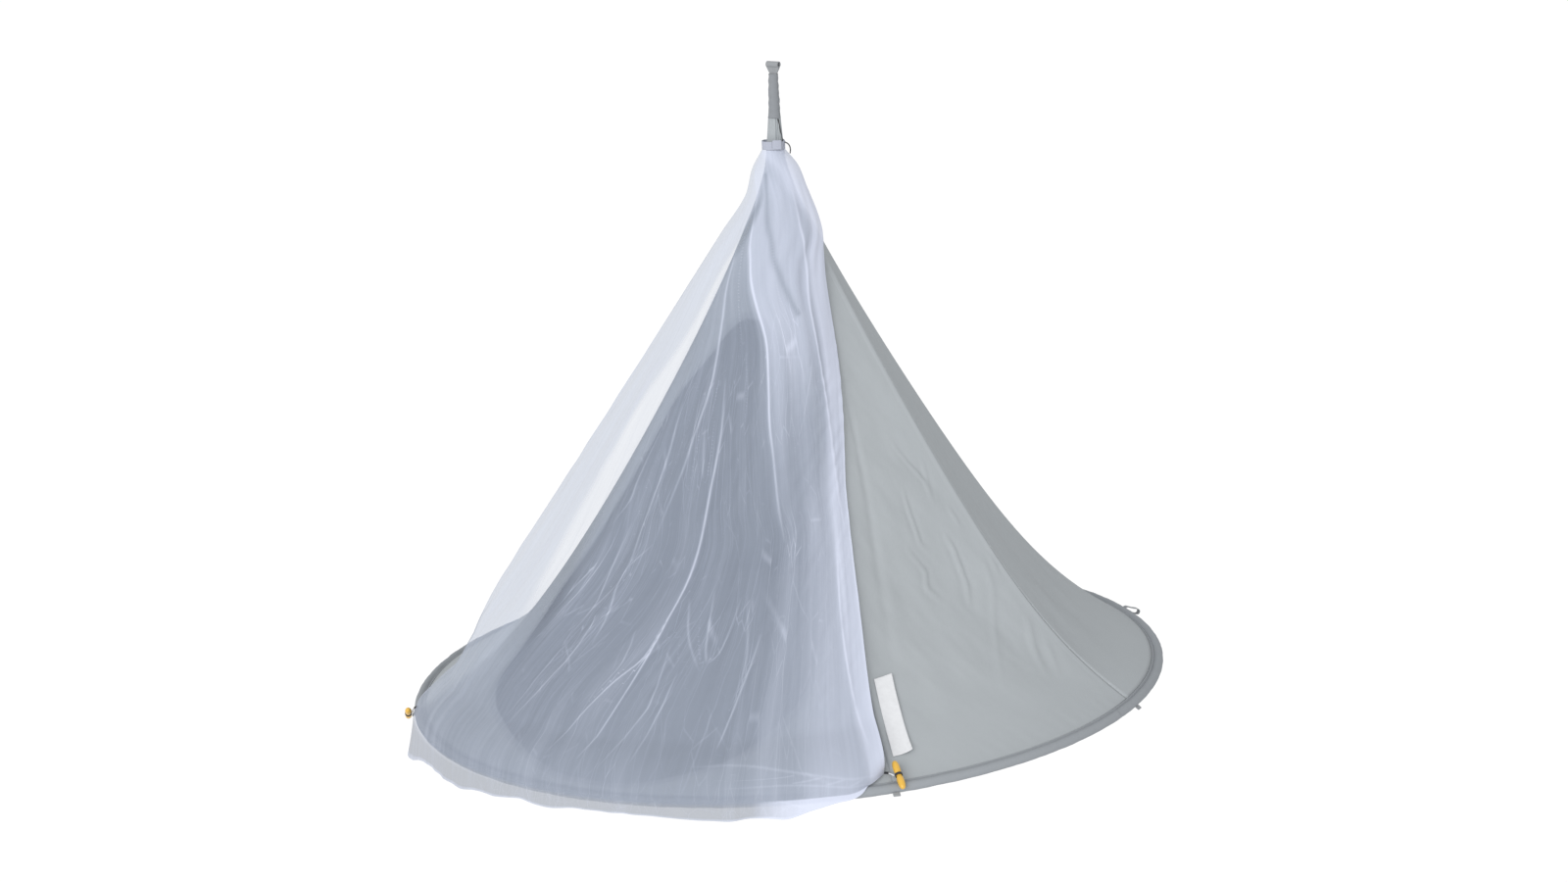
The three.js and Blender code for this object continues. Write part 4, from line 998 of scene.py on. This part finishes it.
class TENT_OT_floor(bpy.types.Operator):
    """Build the round floor cloth that sags inside the hoop"""

    bl_idname = "tent.floor"
    bl_label = "Floor cloth"

    def execute(self, context):
        scene = context.scene

        def cloth(around, out):
            azimuth = around * 360
            sag = FLOOR_SAG * (1 - out**2)
            x, y = 900 * out * np.cos(np.radians(azimuth)), 900 * out * np.sin(np.radians(azimuth))
            soft = 3.5 * ripple(x, y, 330, 51) + 1.3 * ripple(x, y, 120, 52)
            gathers = 1.6 * ripple(azimuth * 9, out * 40, 46, 53, 12) * step_up(out, 0.55, 0.95)
            held = 1 - step_up(out, 0.93, 0.995)
            relief = (soft + gathers) * held * 0.9 - 2.5 * (1 - step_up(out, 0.9, 1))
            return at_hoop(azimuth, FLOOR_RADIUS * out, FLOOR_RISE - sag + np.minimum(relief, 0.4) * 0.8)

        finish = cloth_finish("floor_cloth", scene.tent_colours.floor, 0.0009, 0.9, 0.06)
        piece = grid_cloth(
            "floor_sheet", 216, 48, cloth, finish, (5.6, 0.9), closed=True, facing=lambda c: Vector((0, 0, 1))
        )
        thicken(piece, scene.tent_sizes.floor_cloth)
        ride_and_replace(piece, "floor_cloth", "floor")
        return {"FINISHED"}


HOOP_SECTION = [
    (-15.95, 9.15), (-14.6, 10.1), (-13.0, 9.6), (-11.4, 7.7), (-9.9, 6.6), (-8.3, 7.6), (-6.2, 9.3), (-3.2, 10.7),
    (0.2, 11.1), (3.6, 10.5), (6.7, 8.8), (9.1, 6.3), (10.6, 3.2), (11.0, 0), (10.5, -3.4), (8.8, -6.6),
    (6.2, -9.1), (3.0, -10.6), (-0.4, -11.0), (-3.8, -10.3), (-6.9, -8.6), (-9.2, -6.0), (-10.6, -2.6), (-12.6, 1.6),
    (-14.6, 5.4),
]


# Where the groove between tail and tube lies, in metres round the section; the sleeve is darkened there as painted
# shade
HOOP_SHADED_GROOVE = 0.0128


class TENT_OT_hoop(bpy.types.Operator):
    """Build the hoop in its cloth sleeve, with the welt where the canopy joins it"""

    bl_idname = "tent.hoop"
    bl_label = "Hoop"

    def execute(self, context):
        section = np.array(HOOP_SECTION + HOOP_SECTION[:1], float)
        corners = np.arange(len(section))

        def sleeve(around, turn):
            azimuth, corner = around * 360, turn * (len(section) - 1)
            out, rise = np.interp(corner, corners, section[:, 0]), np.interp(corner, corners, section[:, 1])
            puffed = step_up(np.hypot(out, rise), 9, 11)
            soft = 1 + 0.035 * ripple(around * 5674, turn * 70, 42, 61, 12) * puffed
            tail = (out < -11).astype(float)
            soft = soft * (1 - tail) + tail
            return at_hoop(azimuth, HOOP_RADIUS + out * soft, rise * soft)

        finish = cloth_finish("hoop_cloth", context.scene.tent_colours.hoop, 0.0007, 0.85, 0.04, seam=HOOP_SHADED_GROOVE)
        piece = grid_cloth("hoop_sleeve", 640, 50, sleeve, finish, (5.67, 0.08), closed=True)
        recalculate(piece)
        ride_and_replace(piece, "hoop_cloth", "hoop")
        return {"FINISHED"}


def recalculate(piece):
    bm = bmesh.new()
    bm.from_mesh(piece.data)
    bmesh.ops.recalc_face_normals(bm, faces=bm.faces)
    bm.to_mesh(piece.data)
    bm.free()


def webbing_strip(name, path, widths, material, thickness, closed=False, steps=6):
    """A strip of webbing: path holds points, widths the sideways vector from the middle line to the edge."""
    line = smooth_path(path, steps)
    sideways = smooth_path(widths, steps)
    count = len(line) - 1

    def place(along, across):
        k = np.round(along * count).astype(int)
        return line[k] + sideways[k] * (2 * across - 1)[:, None]

    length = float(np.linalg.norm(np.diff(line, axis=0), axis=1).sum()) * MM
    width = 2 * MM * float(np.linalg.norm(widths[0]))
    strip = grid_cloth(name, count, 6, place, material, (length, width), closed=closed)
    wall = thicken(strip, thickness, 0.0)
    edge = wall.modifiers.new("rounded edge", "BEVEL")
    edge.width = thickness * 0.35
    edge.segments = 2
    edge.limit_method = "ANGLE"
    return strip


FREE_LOOP = {"azimuth": 53.5, "length": 44, "height": 15, "slope": -18, "rise": 2, "half_width": 8}
# The loops' outlines: the way out from the hoop, and height (of the free loop as a share of its half height)
FREE_LOOP_OUTLINE = [
    (7.5, 1), (16, 0.92), (26, 0.95), (36.5, 1), (41.5, 0.72), (43.2, 0), (41.5, -0.72), (36.5, -1),
    (26, -0.9), (16, -0.95), (7.5, -1), (2.6, -0.7), (0.8, 0), (2.6, 0.7), (7.5, 1),
]
FLAT_LOOP_OUTLINE = [(0.6, 0.9), (4, 0.95), (8.6, 0.9), (10.4, 0), (8.6, -0.9), (4, -0.95), (0.6, -0.9)]
FLAT_LOOPS = {"hoop_loop_left": -139.3, "hoop_loop_front": -41.5, "hoop_loop_right": 6}


class TENT_OT_loops(bpy.types.Operator):
    """Build the webbing loops on the hoop"""

    bl_idname = "tent.loops"
    bl_label = "Hoop loops"

    def execute(self, context):
        scene = context.scene
        material = strap_finish(scene.tent_colours)
        thickness = scene.tent_sizes.webbing
        loop = FREE_LOOP
        slope, azimuth = math.radians(loop["slope"]), loop["azimuth"]
        half = loop["height"] / 2 - 0.8
        root = HOOP_RADIUS + TUBE_RADIUS + 0.3
        level = float(hoop_level(azimuth, HOOP_RADIUS)) + loop["rise"]
        path = []
        for along, share in FREE_LOOP_OUTLINE:
            rise = half * share
            r = root + along * math.cos(slope) - rise * math.sin(slope)
            z = level + along * math.sin(slope) + rise * math.cos(slope)
            path.append(polar(azimuth, r, z))
        side = polar(azimuth + 90, loop["half_width"], 0)
        free = webbing_strip("free_hoop_loop", path, [side] * len(path), material, thickness, closed=True)
        ride_and_replace(free, "webbing", "hoop_loop_free")
        for name, azimuth in FLAT_LOOPS.items():
            tilt = math.radians(-38)
            base = TUBE_RADIUS * math.cos(math.radians(20)) + 0.3
            level = float(hoop_level(azimuth, HOOP_RADIUS))
            path = []
            for along, rise in FLAT_LOOP_OUTLINE:
                out = (base + along) * math.cos(tilt) - rise * math.sin(tilt)
                up = (base + along) * math.sin(tilt) + rise * math.cos(tilt)
                path.append(polar(azimuth, HOOP_RADIUS + out, level + up))
            side = polar(azimuth + 90, 7.9, 0)
            flat = webbing_strip(f"sewn_{name}", path, [side] * len(path), material, 0.0009)
            ride_and_replace(flat, "webbing", name)
        return {"FINISHED"}


EYE_CENTRE, EYE_RADIUS = -4.5, 6.3
SLEEVE_TOP, SLEEVE_FOOT = -26.3, -129


class TENT_OT_strap(bpy.types.Operator):
    """Build the hanging strap, its sleeve and the cord beside the neck"""

    bl_idname = "tent.strap"
    bl_label = "Hanging strap"

    def execute(self, context):
        scene = context.scene
        colours = scene.tent_colours
        turns = [math.radians(a) for a in range(-150, 151, 25)]
        circle = [(EYE_RADIUS * math.sin(a), EYE_CENTRE + EYE_RADIUS * math.cos(a)) for a in turns]
        left = [(-1.3, z) for z in (-148, -120, -90, -60, -40, -28, -21, -16)]
        right = [(y * -1, z) for y, z in reversed(left)]
        path, widths = [], []
        for y, z in left + circle + right:
            half = np.interp(z, [-27, -13], [9.3, 16.8])
            path.append(np.array([0, y, z], float))
            widths.append(np.array([half, 0, 0], float))
        strap = webbing_strip("hanging_strap", path, widths, strap_finish(colours), 0.0024, steps=4)
        ride_and_replace(strap, "webbing", "hang_strap")

        def sleeve(around, down):
            z = SLEEVE_TOP + (SLEEVE_FOOT - SLEEVE_TOP) * down
            wide = 11.0 + 3.2 * down
            wrinkle = 0.9 * ripple(around * 24, z, 21, 71, 12) + 0.7 * np.sin(z * 0.36 + 3 * np.sin(around * 6.283))
            cuff = 0.8 * step_up(down, 0.965, 0.98) + 0.6 * (1 - step_up(down, 0.02, 0.04))
            return polar(around * 360, wide + 0.5 * wrinkle + cuff, z)

        finish = cloth_finish("strap_sleeve_cloth", colours.strap_sleeve, 0.0007, 0.85, 0.06)
        tube = grid_cloth("strap_sleeve_tube", 72, 90, sleeve, finish, (0.085, 0.103), closed=True, facing=from_axis)
        thicken(tube, 0.0009)
        ride_and_replace(tube, "sleeve_cloth", "strap_sleeve")

        points = []
        for i in range(9):
            z = -131 - 55 * i / 8
            azimuth = -21 + 35 * i / 8
            neck = float(canopy_radius(np.array([azimuth]), np.array([(z + HOOP_DROP) / APEX_RISE]))[0])
            points.append(polar(azimuth, neck + 1.75, z))
        cord = cord_tube("neck_side_cord", points, 1.25, black_finish(colours))
        ride_and_replace(cord, "black_cord", "neck_cord")
        return {"FINISHED"}


class TENT_OT_net(bpy.types.Operator):
    """Build the sheer mosquito net over the door"""

    bl_idname = "tent.net"
    bl_label = "Mosquito net"

    def execute(self, context):
        colours = context.scene.tent_colours

        def level_of(up):
            row = 1 - up
            cone = np.clip(row / NET_CONE_ROWS, 0, 1) ** 1.15
            return np.where(row < NET_CONE_ROWS, cone, 1 + (row - NET_CONE_ROWS))

        def crowded(column):
            return 1 - (1 - column) ** NET_CROWDING

        def place(across, up):
            return net_point(crowded(across), level_of(up))

        finish = net_finish("net_mesh", colours.net_thin, colours.net_dense, colours.net_hem_shaded)
        net = grid_cloth("net_veil", NET_COLUMNS, NET_ROWS, place, finish, (1, 1), facing=from_axis)
        cloth = net.data.uv_layers["cloth"].uv
        at = np.empty(len(cloth) * 2, np.float32)
        cloth.foreach_get("vector", at)
        corner = np.empty(len(cloth), np.int32)
        net.data.loops.foreach_get("vertex_index", corner)
        places = np.zeros((len(net.data.vertices), 2))
        places[corner] = at.reshape(-1, 2)
        across, level = crowded(places[:, 0]), level_of(places[:, 1])
        down = np.clip(level, 0, 1)
        flat = np.stack([net_flow(across, down) * NET_FLAT[0], level * NET_FLAT[1]], -1)
        cloth.foreach_set("vector", flat[corner].astype(np.float32).ravel())
        distance, strong = nearest_crease(across, down)
        marks = {
            "net_layers": net_layers(across, level),
            "net_crease": distance,
            "net_fold": strong * (1 - step_up(level, 1, 1.01)),
            "net_crumple": net_crumple(across, down),
        }
        for name, values in marks.items():
            mark = net.data.attributes.new(name, "FLOAT", "POINT")
            mark.data.foreach_set("value", values.astype(np.float32))
        ride_and_replace(net, "net_mesh", "net")
        return {"FINISHED"}


def net_layers(across, level):
    """How dense the net looks, from 0 where it lies single to 1 where its folds lie double; along the right edge it
    is also raised as painted light, where that side faces away from the key light.
    """
    down = np.clip(level, 0, 1)
    spread = net_spread(down)
    x, y = across * spread, down * NET_DROP
    from_right = (1 - across) * spread
    # right-edge band: denser net along the edge, and also painted light that brightens this side where it faces away
    # from the key light
    band = 1 - step_up(from_right, 75 - 45 * down, 115 - 66 * down)
    dense = 0.66 * band * (1 - 0.5 * step_up(down, 0.3, 0.62))
    gather = smooth_table(down, NET_GATHER, 1)
    gathered = 0.22 + 0.38 * (1 - step_up(down, 0.28, 0.55))
    dense = dense + gathered * step_up(across, gather - 0.03, gather + 0.02)
    dense = dense + 0.3 * (1 - step_up(down, 0.05, 0.32)) * step_up(across, 0.05, 0.2)
    dense = np.minimum(dense, 0.6 + 0.4 * band)
    dense = dense + 0.3 * step_up(across, 0.84, 0.92) * step_up(down, 0.4, 0.6)
    dense = dense - 0.25 * (1 - step_up(down, 0, 0.07))
    dense = dense + 0.1 * (1 - step_up(across, 0.2, 0.24)) * step_up(down, 0.1, 0.3)
    start = 0.2 + 0.05 * (1 - step_up(down, 0.25, 0.45))
    single = step_up(across, start, start + 0.04) * (1 - step_up(across, 0.29, 0.34))
    dense = dense - 0.6 * single * step_up(down, 0.03, 0.12) * (1 - step_up(down, 0.66, 0.86))
    valley, _ = path_distance(x, y, net_lengths(NET_VALLEY))
    dense = dense - 0.35 * np.exp(-((valley / 5) ** 2))
    streak = np.clip(ripple(net_flow(across, down) * NET_FLOW_WIDTH, y * 0.05, 30, 24, 16), 0, 1.2) ** 2
    dense = dense + 0.06 * streak * step_up(down, 0.05, 0.3)
    hems = 0.6 * np.exp(-((x / 6) ** 2)) + np.exp(-((from_right / 5) ** 2))
    hems = hems + step_up(level, 1.148, 1.152)
    flap = step_up(across, 0.8, 0.86) * (1 - step_up(across, 0.965, 0.985)) * step_up(level, 1.015, 1.04)
    return np.clip(dense + 0.45 * hems + 0.6 * flap, NET_THINNEST, 1)


def net_crumple(across, down):
    """How crumpled the net is: little at its sides and its top, most in the crumpled places."""
    x, y = across * net_spread(down), down * NET_DROP
    middle = step_up(across, 0.25, 0.42) * (1 - step_up(across, 0.88, 0.96))
    total = 0.42 * middle * step_up(down, 0.2, 0.35)
    for a, b, wide, long, strength in NET_CRUMPLES:
        off = ((x - a * float(net_spread(np.array(b)))) / wide) ** 2 + ((y - b * NET_DROP) / long) ** 2
        total = total + strength * np.exp(-off)
    return np.clip(total, 0, 1)


class TENT_OT_collar(bpy.types.Operator):
    """Build the net's collar with its tab and its black pull"""

    bl_idname = "tent.collar"
    bl_label = "Net collar"

    def execute(self, context):
        scene = context.scene
        colours = scene.tent_colours
        gathered = cloth_finish("collar_tape", colours.collar, 0.0006, 0.7, 0.05)

        def tape(around, up):
            gathers = 0.5 * np.sin(around * 2 * math.pi * 26) + 0.4 * ripple(around * 170, up * 12, 20, 81)
            z = -202 + 20 * up + 0.7 * ripple(around * 170, 0 * up, 26, 82) * step_up(up, 0.7, 1)
            points = polar(around * 360, 27.4 + 0.6 * gathers * (0.6 + 0.4 * up), z)
            points[:, 1] += COLLAR_ASIDE
            return points

        collar = grid_cloth("collar_band", 208, 10, tape, gathered, (0.17, 0.02), closed=True)
        recalculate(collar)
        thicken(collar, scene.tent_sizes.tape)
        ride_and_replace(collar, "collar_tape", "net_collar")

        turn = Matrix.Rotation(math.radians(37), 3, "Z")

        def tab_place(across, up):
            x = -4 + 21 * across
            bend = 1.1 * np.sin(across * math.pi) - 0.8 * up * across
            z = -200 + 22 * up - 1.2 * np.abs(2 * across - 1) ** 6
            flat = np.stack([x, -29.2 - bend, z], -1) @ np.array(turn.transposed())
            flat[:, 1] += COLLAR_ASIDE
            return flat

        tab = grid_cloth("bare_collar_tab", 14, 14, tab_place, gathered, (0.021, 0.022))
        thicken(tab, scene.tent_sizes.tape, 0.0)
        ride_and_replace(tab, "white_tab", "collar_tab")

        points = []
        for azimuth, out, z in [(12, -0.8, -185), (10, 9, -190), (8, 14, -200), (8, 13, -211)]:
            point = polar(azimuth, 29.8 + out, z)
            point[1] += COLLAR_ASIDE
            points.append(point)
        pull = cord_tube("collar_pull_cord", points, 1.5, black_finish(colours))
        ride_and_replace(pull, "black_cord", "collar_pull")
        return {"FINISHED"}


class TENT_OT_label(bpy.types.Operator):
    """Build the bare label that is sewn along the front seam"""

    bl_idname = "tent.label"
    bl_label = "Bare label"

    def execute(self, context):
        def place(across, up):
            left, right = -40.3 + 0.4 * up, -37.2 + 1.3 * up
            azimuth = left + (right - left) * across
            share = 0.0275 + (0.129 - 0.0275) * up
            curl = 9 * (across * (1 - up)) ** 4
            lift = 1.6 + 3.2 * across**1.5 + curl + 0.5 * ripple(across * 40, up * 190, 60, 91)
            return canopy_point(azimuth, share) + canopy_outward(azimuth, share) * lift[:, None]

        finish = plain_finish(
            "label_satin", context.scene.tent_colours.white, 0.42, 700.0, Sheen_Weight=0.3, Specular_IOR_Level=0.4
        )
        label = grid_cloth("bare_label_strip", 16, 60, place, finish, (0.045, 0.195), facing=from_axis)
        thicken(label, 0.0006)
        ride_and_replace(label, "white_tab", "bare_label")
        return {"FINISHED"}


TOGGLE_SEATS = {
    "right": {"azimuth": -40.81, "radius": 897.2, "rise": 26.4, "slope": -31.6, "turn": 0},
    "left": {"azimuth": -138.6, "radius": 929, "rise": -2, "slope": 32, "turn": 90},
}
TIES = {
    "right": (
        [(-42.38, 872.5, 26.6), (-42.15, 877.5, 28), (-41.98, 882, 28.2)],
        [(-41.96, 882.6, 28.2), (-41.75, 889, 27.8), (-41.48, 897, 26.4)],
    ),
    "left": (
        [(-138.21, 906, 14.3), (-138.33, 910.4, 12.8), (-138.45, 914, 9.9)],
        [(-138.48, 914.6, 9.3), (-138.55, 918.4, 4.5), (-138.6, 918.9, -1)],
    ),
}
# Half a toggle's outline, as radius and height, and the outline of the band in its waist
TOGGLE_PROFILE = [
    (0.01, 38), (2.6, 37.7), (4.6, 36), (6.3, 32.5), (7.5, 27),
    (8, 20), (7.9, 14), (7.3, 8.5), (6.4, 5), (6.2, 3),
]
BAND_PROFILE = [(6.5, -2.6), (8.1, -3), (8.5, -2.2), (8.5, 2.2), (8.1, 3), (6.5, 2.6), (6.5, -2.6)]
ELASTIC_RADIUS, LACE_RADIUS = 2.6, 1.5


class TENT_OT_toggles(bpy.types.Operator):
    """Build the two toggles and what ties the net's corners to them"""

    bl_idname = "tent.toggles"
    bl_label = "Toggles"

    def execute(self, context):
        colours = context.scene.tent_colours
        amber = plain_finish("amber_plastic", colours.amber, 0.38, 260.0, Coat_Weight=0.15, Coat_Roughness=0.3)
        elastic = plain_finish("black_elastic", colours.black, 0.55, 1500.0)
        lace = plain_finish("white_lace", colours.white, 0.8, 1500.0)
        profile = smooth_path([(r, z, 0) for r, z in TOGGLE_PROFILE], 4)[:, :2]
        profile = [*profile, *[(r, -z) for r, z in reversed(profile)]]
        for side, seat in TOGGLE_SEATS.items():
            out = polar(seat["azimuth"] + seat["turn"], math.cos(math.radians(seat["slope"])), 0)
            axis = Vector((out[0], out[1], math.sin(math.radians(seat["slope"]))))
            turn = Vector((0, 0, 1)).rotation_difference(axis).to_matrix().to_4x4()
            middle = at_hoop(seat["azimuth"], seat["radius"], seat["rise"]) * MM
            place = Matrix.Translation(Vector(middle)) @ turn
            body = spun(f"amber_toggle_{side}", profile, amber, 40, place)
            ride_and_replace(body, "amber_toggle", f"toggle_{side}")
            band = spun(f"toggle_ring_{side}", BAND_PROFILE, elastic, 40, place)
            ride_and_replace(band, "black_elastic", f"toggle_band_{side}")
            ties = [
                ("elastic", elastic, ELASTIC_RADIUS, "black_elastic"),
                ("lace", lace, LACE_RADIUS, "white_lace"),
            ]
            for (kind, material, radius, slot), route in zip(ties, TIES[side]):
                piece = cord_tube(f"tie_{kind}_{side}", [at_hoop(*dot) for dot in route], radius, material)
                ride_and_replace(piece, slot, f"corner_{kind}_{side}")
        return {"FINISHED"}


# Stage


CAMERA_PLACE = (3.8554, -5.7087, 0.7581)
CAMERA_AZIMUTH, CAMERA_DOWN, CAMERA_ROLL = 124, 13.62, -1.4
CAMERA_SENSOR, CAMERA_LENS = 36, 67.5
STAGE_DROP, STAGE_HALF_WIDTH = -4.5, 60
KEY_AZIMUTH, KEY_HEIGHT, KEY_SOFTNESS, KEY_STRENGTH = -78, 20, 40, 1.9
SKY_STRENGTH = 0.88


class TENT_OT_stage(bpy.types.Operator):
    """Set the camera, the pale floor and the soft studio light"""

    bl_idname = "tent.stage"
    bl_label = "Stage"

    def execute(self, context):
        scene = context.scene
        scene.view_settings.view_transform = "Standard"
        scene.view_settings.look = "None"
        look, down = math.radians(CAMERA_AZIMUTH), math.radians(CAMERA_DOWN)
        ahead = Vector((math.cos(look) * math.cos(down), math.sin(look) * math.cos(down), -math.sin(down)))
        level_right = ahead.cross(Vector((0, 0, 1))).normalized()
        level_up = level_right.cross(ahead)
        roll = math.radians(CAMERA_ROLL)
        right = math.cos(roll) * level_right + math.sin(roll) * level_up
        up = math.cos(roll) * level_up - math.sin(roll) * level_right
        lens = bpy.data.cameras.new("camera")
        lens.sensor_width, lens.lens = CAMERA_SENSOR, CAMERA_LENS
        lens.clip_end = 200
        camera = bpy.data.objects.new("camera", lens)
        turned = Matrix((right, up, -ahead)).transposed().to_4x4()
        camera.matrix_world = Matrix.Translation(CAMERA_PLACE) @ turned
        scene.collection.objects.link(camera)
        scene.camera = camera

        bm = bmesh.new()
        bmesh.ops.create_grid(bm, x_segments=4, y_segments=4, size=STAGE_HALF_WIDTH)
        bmesh.ops.translate(bm, verts=bm.verts, vec=(0, 0, STAGE_DROP))
        pale = Finish("studio_floor", 0.9)
        pale.shader.inputs["Base Color"].default_value = (0.96, 0.96, 0.962, 1)
        finished("studio_floor", bm, pale.material, smooth=False)

        world = bpy.data.worlds.new("studio")
        world.use_nodes = True
        world.node_tree.nodes["Background"].inputs["Color"].default_value = (1, 1, 1, 1)
        world.node_tree.nodes["Background"].inputs["Strength"].default_value = SKY_STRENGTH
        scene.world = world
        lamp = bpy.data.lights.new("key", "SUN")
        lamp.energy, lamp.angle = KEY_STRENGTH, math.radians(KEY_SOFTNESS)
        key = bpy.data.objects.new("key", lamp)
        out, rise = math.cos(math.radians(KEY_HEIGHT)), math.sin(math.radians(KEY_HEIGHT))
        toward = Vector(polar(KEY_AZIMUTH, out, rise))
        key.matrix_world = toward.to_track_quat("Z", "Y").to_matrix().to_4x4()
        scene.collection.objects.link(key)
        return {"FINISHED"}


class TENT_PT_builder(bpy.types.Panel):
    """Lists the tent's builders and its settings"""

    bl_label = "Hanging tent"
    bl_idname = "TENT_PT_builder"
    bl_space_type = "VIEW_3D"
    bl_region_type = "UI"
    bl_category = "Tent"

    def draw(self, context):
        for operator in OPERATORS:
            self.layout.operator(operator.bl_idname)
        for group in (context.scene.tent_sizes, context.scene.tent_colours):
            for key in group.bl_rna.properties.keys():
                if key not in {"rna_type", "name"}:
                    self.layout.prop(group, key)


OPERATORS = (
    TENT_OT_stage, TENT_OT_strap, TENT_OT_collar, TENT_OT_gores, TENT_OT_door, TENT_OT_floor, TENT_OT_hoop,
    TENT_OT_loops, TENT_OT_net, TENT_OT_label, TENT_OT_toggles,
)
CLASSES = (TentSizes, TentColours, *OPERATORS, TENT_PT_builder)


def register():
    for made in CLASSES:
        bpy.utils.register_class(made)
    bpy.types.Scene.tent_sizes = PointerProperty(type=TentSizes)
    bpy.types.Scene.tent_colours = PointerProperty(type=TentColours)


def unregister():
    del bpy.types.Scene.tent_sizes
    del bpy.types.Scene.tent_colours
    for made in reversed(CLASSES):
        bpy.utils.unregister_class(made)


def main():
    register()
    for operator in OPERATORS:
        group, name = operator.bl_idname.split(".")
        getattr(getattr(bpy.ops, group), name)()


if __name__ == "__main__":
    main()
